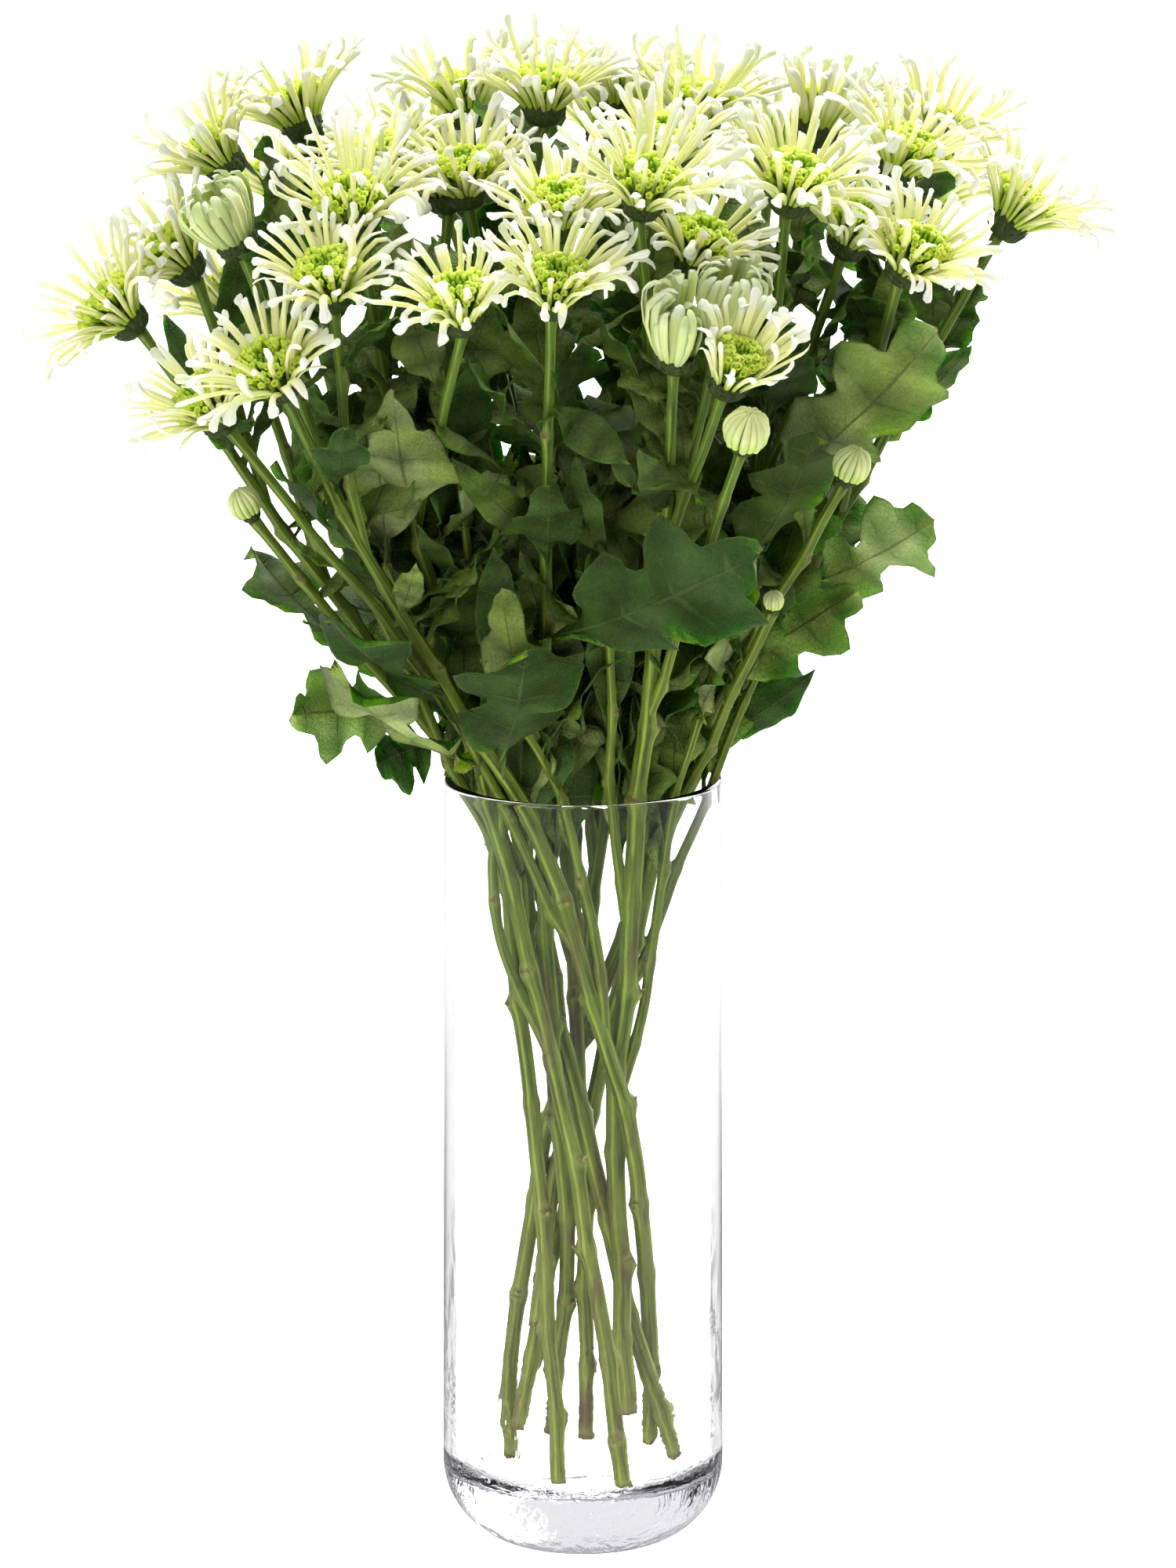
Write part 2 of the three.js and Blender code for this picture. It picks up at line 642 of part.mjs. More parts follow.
// Both faces are fans round a hub on the midrib, so that they are split alike.
function leafSolid(leaf) {
  const { place, normal, outline, half } = leaf;
  const right = outline.map(([u, w]) => place(u, w * half));
  const left = outline.slice(0, -1).reverse().map(([u, w]) => place(u, -w * half));
  const rim = [...right, ...left];
  const hub = place(HUB_SHARE, 0);
  const lift = normal.clone().multiplyScalar(LEAF_THICKNESS / 2);
  const corners = [];
  const add = (...points) => points.forEach((point) => corners.push(...point.toArray()));
  const upper = (point) => point.clone().add(lift);
  const lower = (point) => point.clone().sub(lift);
  rim.forEach((point, k) => {
    const next = rim[(k + 1) % rim.length];
    add(upper(hub), upper(point), upper(next));
    add(lower(hub), lower(next), lower(point));
    add(upper(point), lower(point), lower(next));
    add(upper(point), lower(next), upper(next));
  });
  const geometry = new THREE.BufferGeometry();
  geometry.setAttribute("position", new THREE.Float32BufferAttribute(corners, 3));
  return toSolid(geometry);
}

// Points all over a leaf, close enough together that nothing slips between them.
function leafSamples(leaf) {
  const { place, outline, half } = leaf;
  const samples = outline.flatMap(([u, w]) => [place(u, w * half), place(u, -w * half)]);
  const rows = Math.ceil(leaf.length / LEAF_SAMPLE);
  for (let row = 0; row <= rows; row++) {
    const reach = halfWidth(outline, row / rows) * half;
    const columns = Math.ceil(reach / LEAF_SAMPLE);
    for (let column = -columns; column <= columns; column++) {
      samples.push(place(row / rows, columns ? (column / columns) * reach : 0));
    }
  }
  return samples;
}

function leafFits(leaf, samples, spray, room) {
  return samples.every((sample) => {
    const nearRoot = sample.distanceTo(leaf.root) < LEAF_ROOT_REACH;
    return room.isFree(sample, LEAF_REACH, (ball) => !(nearRoot && ball.owner === spray));
  });
}

// The first of a leaf's possible poses that is clear of all that is placed, or nothing.
function placeLeaf(poses, spray, room) {
  for (const pose of poses) {
    const leaf = makeLeaf(pose);
    const samples = leafSamples(leaf);
    if (!leafFits(leaf, samples, spray, room)) continue;
    samples.forEach((sample) => room.add(sample, LEAF_REACH, spray));
    return leaf;
  }
  return null;
}

function pointAtHeight(points, height) {
  const k = clamp(points.findIndex((point) => point.z > height), 1, points.length - 1);
  const share = clamp((height - points[k - 1].z) / (points[k].z - points[k - 1].z), 0, 1);
  return points[k - 1].clone().lerp(points[k], share);
}

// A leaf that stands out keeps its tip near the place given. It may be shorter, nearer or farther away,
// joined higher or lower, or rolled a little, if something is in its way.
function notedPoses({ up, tip, width, edge }, main) {
  const target = seen(tip);
  const joint = seen([0, up, target.y]).z;
  const poses = [];
  for (const shrink of [1, 0.9, 0.8]) {
    for (const shift of [0, -8, 8, -16, 16, -26, 26]) {
      for (const [lift, roll] of [[0, 0], [0, 0.35], [0, -0.35], [9, 0], [-9, 0], [9, 0.35], [-9, -0.35]]) {
        const root = pointAtHeight(main.points, joint + lift);
        const way = target.clone().setY(target.y + shift).sub(root).multiplyScalar(shrink);
        const outward = new THREE.Vector3(root.x * 0.4, root.y - 60, 20).normalize();
        outward.applyAxisAngle(way.clone().normalize(), roll);
        poses.push({ root, tip: root.clone().add(way), outward, width: width * shrink, edge });
      }
    }
  }
  return poses;
}

// A leaf of the general foliage stands out from its stem at a turn, and tries other turns if blocked.
function foliagePoses(root, along, turn, length, edge) {
  const poses = [];
  for (const shrink of [1, 0.8]) {
    for (const spread of [0.75, 1, 0.5]) {
      for (const extra of [0, 0.5, -0.5, 1, -1, 1.6, -1.6, 2.4]) {
        const out = new THREE.Vector3(Math.cos(turn + extra), Math.sin(turn + extra), 0);
        const way = along.clone().multiplyScalar(Math.cos(spread)).addScaledVector(out, Math.sin(spread));
        const tip = root.clone().addScaledVector(way.normalize(), length * shrink);
        poses.push({ root, tip, outward: out, width: length * shrink * LEAF_SLIMNESS[edge], edge });
      }
    }
  }
  return poses;
}

// Leaves up the main stem by the golden turn, from the vase's rim to just under the heads, large below.
function growFoliage([main], room, random) {
  const leaves = [];
  let turn = random() * 2 * Math.PI;
  const top = main.head.base.z - FOLIAGE_UNDER_HEAD;
  let height = VASE_HEIGHT + lerp(...FOLIAGE_START, random());
  while (height < top) {
    const share = (height - VASE_HEIGHT) / (top - VASE_HEIGHT);
    const length = lerp(...FOLIAGE_LENGTH, share) * lerp(0.9, 1.1, random());
    const edge = share < FOLIAGE_LOBED_SHARE ? "lobed" : "forked";
    turn += GOLDEN_TURN;
    const poses = foliagePoses(pointAtHeight(main.points, height), UP, turn, length, edge);
    const leaf = placeLeaf(poses, main.spray, room);
    if (leaf) leaves.push(leaf);
    height += lerp(...FOLIAGE_STEP, random());
  }
  return leaves;
}

// One lance leaf under way up every other side branch.
function growBracts(shoots, room, random) {
  const leaves = [];
  for (const shoot of shoots.slice(1).filter((_, k) => k % 2 === 0)) {
    const turn = random() * 2 * Math.PI;
    const length = lerp(...BRACT_LENGTH, random());
    const poses = foliagePoses(shoot.points[2], direction(shoot.points, 2), turn, length, "lance");
    const leaf = placeLeaf(poses, shoot.spray, room);
    if (leaf) leaves.push(leaf);
  }
  return leaves;
}

// Balls close together along a stem, then wider ones up its calyx and disc.
function fillRoomWithShoot({ points, radii, head, spray }, room) {
  for (let k = 0; k < points.length - 1; k++) {
    const steps = Math.ceil(points[k].distanceTo(points[k + 1]) / STEM_SAMPLE);
    for (let step = 0; step < steps; step++) {
      const at = points[k].clone().lerp(points[k + 1], step / steps);
      room.add(at, lerp(radii[k], radii[k + 1], step / steps) + 0.2, spray);
    }
  }
  for (let step = 0; step <= HEAD_SAMPLES; step++) {
    const at = head.base.clone().lerp(head.top, step / HEAD_SAMPLES);
    const radius = lerp(CALYX_RADIUS / 2, CALYX_RADIUS + 0.6, clamp(step / 3, 0, 1));
    room.add(at, head.girth * radius, head.name);
  }
}

// The upper part of the vase's wall, which leaves could reach.
function fillRoomWithVase(room) {
  const middle = VASE_RIM_RADIUS - VASE_WALL / 2;
  for (let height = VASE_HEIGHT - WALL_IN_REACH; height <= VASE_HEIGHT; height += WALL_SAMPLE) {
    for (let turn = 0; turn < 2 * Math.PI; turn += WALL_SAMPLE / middle) {
      room.add(new THREE.Vector3(Math.cos(turn) * middle, Math.sin(turn) * middle, height), 1.9, "vase");
    }
  }
}

// A closed skin put together from corners and three-sided faces.
class Skin {
  constructor() {
    this.corners = [];
    this.faces = [];
  }

  corner(point) {
    return this.corners.push(point) - 1;
  }

  face(a, b, c) {
    this.faces.push(a, b, c);
  }

  geometry() {
    const geometry = new THREE.BufferGeometry();
    const places = this.corners.flatMap((corner) => corner.toArray());
    geometry.setAttribute("position", new THREE.Float32BufferAttribute(places, 3));
    geometry.setIndex(this.faces);
    return geometry;
  }
}

// The knee, the widest place and the tip of a ray in its bloom's own frame. It climbs at first steeply,
// then less, and all its steps have the same length.
function raySpine(root, { turn, climbs, length }) {
  const at = root.clone();
  const spine = [];
  for (let k = 0; k < RAY_STEPS; k++) {
    if (RAY_RINGS.includes(k)) spine.push(at.clone());
    const climb = degToRad(lerp(...climbs, (k + 0.5) / RAY_STEPS));
    const step = length / RAY_STEPS;
    const out = Math.cos(climb) * step;
    at.add(new THREE.Vector3(Math.cos(turn) * out, Math.sin(turn) * out, Math.sin(climb) * step));
  }
  return [...spine, at];
}

// The tries for a ray: as it would grow, then lifted, lowered or turned a little, then shorter.
function* rayTries(climbs, turn, length) {
  const ways = [[0, 0], [0, 12], [0, -12], [0.16, 0], [-0.16, 0], [0, 24], [0.16, 14], [-0.16, 14]];
  for (const shorter of [1, 0.82, 0.66, 0.5]) {
    for (const [aside, lift] of ways) {
      yield { turn: turn + aside, climbs: climbs.map((climb) => climb + lift), length: length * shorter };
    }
  }
}

// Balls along the straight stretches of a ray. Those near the root stand among the roots beside them.
function rayBalls(root, rings, tip) {
  const stations = [{ at: root, radius: RAY_ROOT }, ...rings, { at: tip, radius: RAY_TIP }];
  const balls = [];
  stations.slice(1).forEach((station, k) => {
    for (let step = 1; step <= RAY_SAMPLES; step++) {
      const share = step / RAY_SAMPLES;
      const at = stations[k].at.clone().lerp(station.at, share);
      const near = at.distanceTo(root) < RAY_BUNDLE;
      balls.push({ at, radius: lerp(stations[k].radius, station.radius, share) + 0.15, near });
    }
  });
  return balls;
}

// A ray is clear of everything but the crown that it grows from and, near its root, the rays beside it.
function rayFits(balls, bloom, room) {
  return balls.every(({ at, radius, near }) => room.isFree(at, radius, (ball) => ball.owner !== bloom || !near));
}

// Grows a quill from one three-cornered facet of the skin, through rings of a given girth, to a point.
function growQuill(skin, facet, rings, tip) {
  const corners = facet.map((k) => skin.corners[k]);
  const centre = corners.reduce((sum, corner) => sum.add(corner), new THREE.Vector3()).divideScalar(3);
  const normal = new THREE.Triangle(...corners).getNormal(new THREE.Vector3());
  const girth = Math.max(...corners.map((corner) => corner.distanceTo(centre)));
  let ring = facet;
  let last = centre;
  for (const { at, radius } of rings) {
    const turn = new THREE.Quaternion().setFromUnitVectors(normal, at.clone().sub(last).normalize());
    const next = corners.map((corner) => {
      const arm = corner.clone().sub(centre).multiplyScalar(radius / girth).applyQuaternion(turn);
      return skin.corner(arm.add(at));
    });
    for (let j = 0; j < 3; j++) {
      const k = (j + 1) % 3;
      skin.face(ring[j], ring[k], next[k]);
      skin.face(ring[j], next[k], next[j]);
    }
    ring = next;
    last = at;
  }
  const point = skin.corner(tip);
  for (let j = 0; j < 3; j++) skin.face(ring[j], ring[(j + 1) % 3], point);
}

function ringOf(skin, frame, count, half, shape) {
  return Array.from({ length: count }, (_, k) => {
    const turn = ((k + half) / count) * 2 * Math.PI;
    const [radius, height] = shape(k);
    const corner = new THREE.Vector3(Math.cos(turn) * radius, Math.sin(turn) * radius, height);
    return skin.corner(corner.applyMatrix4(frame));
  });
}

// The frame of a bloom: its own +Z is the way it faces, and its origin lies just above the calyx.
function bloomFrame(head) {
  const seat = head.base.clone().addScaledVector(head.face, CALYX_HEIGHT + CLEARANCE);
  const turn = new THREE.Quaternion().setFromUnitVectors(UP, head.face);
  return new THREE.Matrix4().compose(seat, turn, new THREE.Vector3(1, 1, 1));
}

// A bloom: a crown whose facets each grow a ray, closed above by the raised, knobbly disc of florets.
function bloomGeometry(head, room, random) {
  const skin = new Skin();
  const frame = bloomFrame(head);
  const low = ringOf(skin, frame, SECTORS, 0, () => [CROWN_RADIUS, 0]);
  const high = ringOf(skin, frame, SECTORS, 0.5, () => [DISC_RADIUS, CROWN_HEIGHT]);
  const count = SECTORS;
  const knobs = ringOf(skin, frame, count * 2, 1, (k) => (k % 2 ? DISC_KNOB : DISC_NOTCH));
  const dimple = skin.corner(new THREE.Vector3(0, 0, DISC_DIMPLE).applyMatrix4(frame));
  for (let k = 0; k < count; k++) {
    const next = (k + 1) % count;
    if (k > 0 && k < count - 1) skin.face(low[0], low[next], low[k]);
    growRay(skin, [low[k], low[next], high[k]], "outer", head, frame, room, random);
    growRay(skin, [low[next], high[next], high[k]], "inner", head, frame, room, random);
    const [first, second, third] = [0, 1, 2].map((step) => knobs[(2 * k + step) % (2 * count)]);
    skin.face(high[k], first, knobs[(2 * k - 1 + 2 * count) % (2 * count)]);
    skin.face(high[k], high[next], second);
    skin.face(high[k], second, first);
    skin.face(first, second, dimple);
    skin.face(second, third, dimple);
  }
  return skin.geometry();
}

// One ray of the outer or the inner row, or a plain facet where no try finds room.
function growRay(skin, facet, row, head, frame, room, random) {
  const inverse = frame.clone().invert();
  const middle = facet.reduce((sum, k) => sum.add(skin.corners[k]), new THREE.Vector3()).divideScalar(3);
  const root = middle.clone().applyMatrix4(inverse);
  const turn = Math.atan2(root.y, root.x) + lerp(-0.1, 0.1, random());
  const climbs = OPENINGS[head.kind][row].map((climb) => climb + lerp(-9, 9, random()));
  const share = row === "outer" ? 1 : INNER_RAY_SHARE;
  const length = RAY_LENGTH * head.size * lerp(0.86, 1.12, random()) * share;
  const kneed = head.kind === "ball" || (row === "outer" && head.top.y < KNEED_BEFORE);
  for (const attempt of rayTries(climbs, turn, length)) {
    const [knee, widest, tip] = raySpine(root, attempt).map((point) => point.applyMatrix4(frame));
    const spoon = { at: widest, radius: RAY_SPOON };
    const rings = kneed ? [{ at: knee, radius: RAY_SHAFT }, spoon] : [spoon];
    const balls = rayBalls(middle, rings, tip);
    if (!rayFits(balls, head.name, room)) continue;
    growQuill(skin, facet, rings, tip);
    balls.forEach(({ at, radius }) => room.add(at, radius, head.name));
    return;
  }
  skin.face(...facet);
}

// Points along an arc of the vase's profile, from one angle to another in degrees.
function arc(x, y, radius, from, to, steps) {
  return Array.from({ length: steps + 1 }, (_, k) => {
    const angle = degToRad(lerp(from, to, k / steps));
    return new THREE.Vector2(x + Math.cos(angle) * radius, y + Math.sin(angle) * radius);
  });
}

function vaseGeometry() {
  const corner = VASE_RADIUS - VASE_FOOT_RADIUS;
  const inner = VASE_RIM_RADIUS - VASE_WALL;
  const lip = VASE_WALL / 2;
  const profile = [
    new THREE.Vector2(0, 0),
    ...arc(VASE_FOOT_RADIUS, corner, corner, -90, 0, 4),
    ...arc(VASE_RIM_RADIUS - lip, VASE_HEIGHT - lip, lip, 0, 180, 3),
    ...arc(inner - VASE_INNER_CORNER, VASE_FLOOR + VASE_INNER_CORNER, VASE_INNER_CORNER, 0, -90, 3),
    new THREE.Vector2(0, VASE_FLOOR),
  ];
  return weld(new THREE.LatheGeometry(profile, VASE_SIDES).rotateX(Math.PI / 2));
}

function mesh(name, geometry, material) {
  const made = new THREE.Mesh(geometry, material);
  made.name = name;
  return made;
}

// Names for the heads in the order of the list. A bud is part of its spray and makes no piece of its own.
function* headNames() {
  const counts = { bud: 0, bloom: 0 };
  for (const { kind } of SPRAYS.flatMap((spray) => spray.heads)) {
    const word = kind === "bud" ? "bud" : "bloom";
    counts[word] += 1;
    yield `${word}_${String(counts[word]).padStart(2, "0")}`;
  }
}

function growLeaves(sprays, room, random) {
  const leaves = new Map(sprays.map(({ spray }) => [spray.name, []]));
  const mains = new Map(sprays.map(({ spray, shoots }) => [spray.name, shoots[0]]));
  for (const entry of NOTED_LEAVES) {
    const leaf = placeLeaf(notedPoses(entry, mains.get(entry.spray)), entry.spray, room);
    if (leaf) leaves.get(entry.spray).push(leaf);
  }
  for (const { spray, shoots } of sprays) leaves.get(spray.name).push(...growBracts(shoots, room, random));
  for (const { spray, shoots } of sprays) leaves.get(spray.name).push(...growFoliage(shoots, room, random));
  return leaves;
}

function build() {
  const random = seededRandom(20);
  const room = new Room();
  const names = headNames();
  const sprays = SPRAYS.map((spray) => ({ spray, shoots: makeShoots(spray, names) }));
  const shoots = sprays.flatMap((each) => each.shoots);
  bendClear(shoots);
  sprays.filter(({ spray }) => spray.stands).forEach((each) => standOnFloor(each.shoots[0]));
  fillRoomWithVase(room);
  shoots.forEach((shoot) => fillRoomWithShoot(shoot, room));
  const leaves = growLeaves(sprays, room, random);

  const glass = new THREE.MeshStandardMaterial({ color: COLOURS.glass, roughness: 0.05, metalness: 0 });
  const green = new THREE.MeshStandardMaterial({ color: COLOURS.green, roughness: 0.6, metalness: 0 });
  const cream = new THREE.MeshStandardMaterial({ color: COLOURS.cream, roughness: 0.7, metalness: 0 });
  const group = new THREE.Group();
  group.add(mesh("vase", vaseGeometry(), glass));
  for (const { spray, shoots: own } of sprays) {
    const parts = [...own.map(shootSolid), ...leaves.get(spray.name).map(leafSolid)];
    group.add(mesh(spray.name, toGeometry(parts.reduce((whole, part) => whole.add(part))), green));
  }
  const blooms = shoots.map((shoot) => shoot.head).filter((head) => head.kind !== "bud");
  blooms.sort((one, other) => one.top.y - other.top.y);
  for (const head of blooms) group.add(mesh(head.name, bloomGeometry(head, room, random), cream));
  return group;
}

export default build();
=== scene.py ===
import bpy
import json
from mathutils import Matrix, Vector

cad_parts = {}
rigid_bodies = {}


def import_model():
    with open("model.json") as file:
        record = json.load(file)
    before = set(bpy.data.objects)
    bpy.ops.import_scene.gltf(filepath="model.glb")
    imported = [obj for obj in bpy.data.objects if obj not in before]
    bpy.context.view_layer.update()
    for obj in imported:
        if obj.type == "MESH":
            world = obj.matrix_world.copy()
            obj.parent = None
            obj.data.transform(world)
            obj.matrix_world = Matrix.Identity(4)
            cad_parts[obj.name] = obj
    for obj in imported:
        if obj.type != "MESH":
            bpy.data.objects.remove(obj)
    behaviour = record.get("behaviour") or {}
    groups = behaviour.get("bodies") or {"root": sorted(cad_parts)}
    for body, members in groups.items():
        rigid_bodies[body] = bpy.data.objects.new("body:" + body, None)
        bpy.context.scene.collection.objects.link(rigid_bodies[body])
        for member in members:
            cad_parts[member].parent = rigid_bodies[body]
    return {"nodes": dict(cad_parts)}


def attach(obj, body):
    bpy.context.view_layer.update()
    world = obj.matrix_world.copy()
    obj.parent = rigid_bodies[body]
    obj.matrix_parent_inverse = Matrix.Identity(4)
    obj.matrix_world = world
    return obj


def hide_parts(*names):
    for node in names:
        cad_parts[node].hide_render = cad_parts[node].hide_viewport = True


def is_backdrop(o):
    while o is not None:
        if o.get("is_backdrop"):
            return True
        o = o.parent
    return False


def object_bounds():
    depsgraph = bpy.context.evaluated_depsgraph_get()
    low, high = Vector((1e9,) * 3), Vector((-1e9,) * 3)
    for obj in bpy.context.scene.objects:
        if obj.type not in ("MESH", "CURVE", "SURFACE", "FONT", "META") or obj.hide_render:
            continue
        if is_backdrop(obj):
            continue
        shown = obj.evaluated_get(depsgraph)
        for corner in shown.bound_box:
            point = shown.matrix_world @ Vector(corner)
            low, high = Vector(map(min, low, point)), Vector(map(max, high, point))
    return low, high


bl_info = {
    "name": "Santini Chrysanthemums in a Vase",
    "version": (1, 0, 0),
    "blender": (4, 5, 0),
    "location": "View3D > Sidebar > Bouquet",
    "description": "Spider blooms on leafy cut sprays in a clear glass cylinder vase",
    "category": "Object",
}

import json
import math
import random
from collections import namedtuple
from functools import lru_cache
from itertools import combinations, permutations, product

import bmesh
import bpy
import numpy as np
from bpy.props import FloatProperty, FloatVectorProperty, IntProperty, PointerProperty
from mathutils import Matrix, Vector
from mathutils.bvhtree import BVHTree

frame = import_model()
CAD_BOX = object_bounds()

# Lengths are in millimetres up to the moment a finished mesh is written in metres.
METRES = 0.001
GOLDEN_TURN = math.pi * (3 - math.sqrt(5))
UP = np.array([0.0, 0.0, 1.0])

# The vase, as in the frame
VASE_RADIUS = 45
VASE_RIM_RADIUS = 44.2
VASE_HEIGHT = 252
VASE_FOOT_RADIUS = 17.5
VASE_WALL = 2.8
VASE_FLOOR = 22
VASE_INNER_CORNER = 9
CLEARANCE = 0.35
STEM_GAP = 0.6
GLASS_GAP = 0.6
GLASS_BULGE = 0.25
WALL_STEPS = 30

# The sprays' stems, as in the frame
STEM_STEP = 34
STEM_STRAIGHT_TOP = 16
STEM_NARROWS = 0.45
PEDUNCLE_RADIUS = 1.8
PEDUNCLE_STEPS = 4
HEAD_ROOM = 1
BRANCH_STEEPNESS = 1.25
BRANCH_LEAST_RISE = 55
BRANCH_PULL_LOW = 0.35
BRANCH_PULL_HIGH = 0.3
BEND_ROUNDS = 200
BEND_SETTLING = 0.6
BEND_STIFFNESS = 0.04
DOME_DEPTH = 260

# Heads, as in the frame
CALYX_HEIGHT = 8
CALYX_RADIUS = 8.3
CALYX_ROOM = 2
CROWN_RADIUS = 8
CROWN_HEIGHT = 5.5
DISC_HEIGHT = 10
HEAD_HEIGHT = CALYX_HEIGHT + CLEARANCE + DISC_HEIGHT
BUD_RADIUS = 6.9
BUD_CALYX = 0.68

# Leaves, as in the frame
LEAF_ARCH = 0.28
LEAF_FOLD = 0.18
LEAF_SLIMNESS = {"lobed": 0.62, "trident": 0.7, "forked": 0.5, "lance": 0.28}
WIDEST_SHARE = {"lobed": 0.76, "forked": 0.62, "lance": 0.5}
FOLIAGE_START = (6, 16)
FOLIAGE_STEP = (20, 26)
FOLIAGE_LENGTH = (70, 34)
FOLIAGE_UNDER_HEAD = 30
FOLIAGE_LOBED_SHARE = 0.45
FOLIAGE_SHRINKS = (1, 0.8)
FOLIAGE_SPREADS = (0.75, 1, 0.5)
FOLIAGE_TURNS = (0, 0.5, -0.5, 1, -1, 1.6, -1.6, 2.4)
NOTED_SHRINKS = (1, 0.9, 0.8)
NOTED_SHIFTS = (0, -8, 8, -16, 16, -26, 26)
NOTED_ROLLS = ((0, 0), (0, 0.35), (0, -0.35), (9, 0), (-9, 0), (9, 0.35), (-9, -0.35))
BRACT_LENGTH = (18, 26)
ON_SOLID = 0.06

# Smaller leaves that fill the bouquet between those, and the cone that they stay in
FILLING_STEP = (10, 15)
FILLING_LENGTH = (56, 34)
FILLING_SHORTENS = 170
FILLING_EDGES = {"lobed": 0.25, "trident": 0.2, "forked": 0.2, "lance": 0.35}
FILLING_PALENESS = {0.1: 0.6, 0.3: 0.3, 0.75: 0.1}
FILLING_SPREAD = (0.3, 0.95)
FILLING_SPREAD_IN_VASE = (0.05, 0.3)
FILLING_ARCH = (-0.3, 0.12)
FILLING_FOLD = -0.15
FILLING_UNDER_HEAD = 16
HIGH_LEAF_TRIES = 6
HIGH_LEAF_DROP = (16, 34)
NECK_LOW = 215
NECK_REACH = 36
NECK_MARGIN = 6
CONE_REACH = 118
CONE_TOP = 400
CONE_FLATNESS = 1.1

# Thin side branches: where they start, and how far they rise and stand off from their main stem
TWIG_STARTS = ((140, 190), (195, 240))
TWIG_COURSE = ((14, 3.5), (45, 8), (90, 13), (135, 18))
TWIG_RADII = (2.0, 1.3)
TWIG_STEP = 20
TWIG_REACH = 0.92
TWIG_ROOM_STEP = 6
TWIG_TRIES = 14

# The photograph's eye. Places in the two lists below are written as it sees them: millimetres right
# of the vase's axis, millimetres above its foot, and the true depth away from the eye.
VIEW_TILT = math.radians(13)
VIEW_DISTANCE = 5000
VIEW_AIM = 249
VIEW_AIM_SEEN = 240
VIEW_ASIDE = 1.6
VIEW_HEIGHT = 500

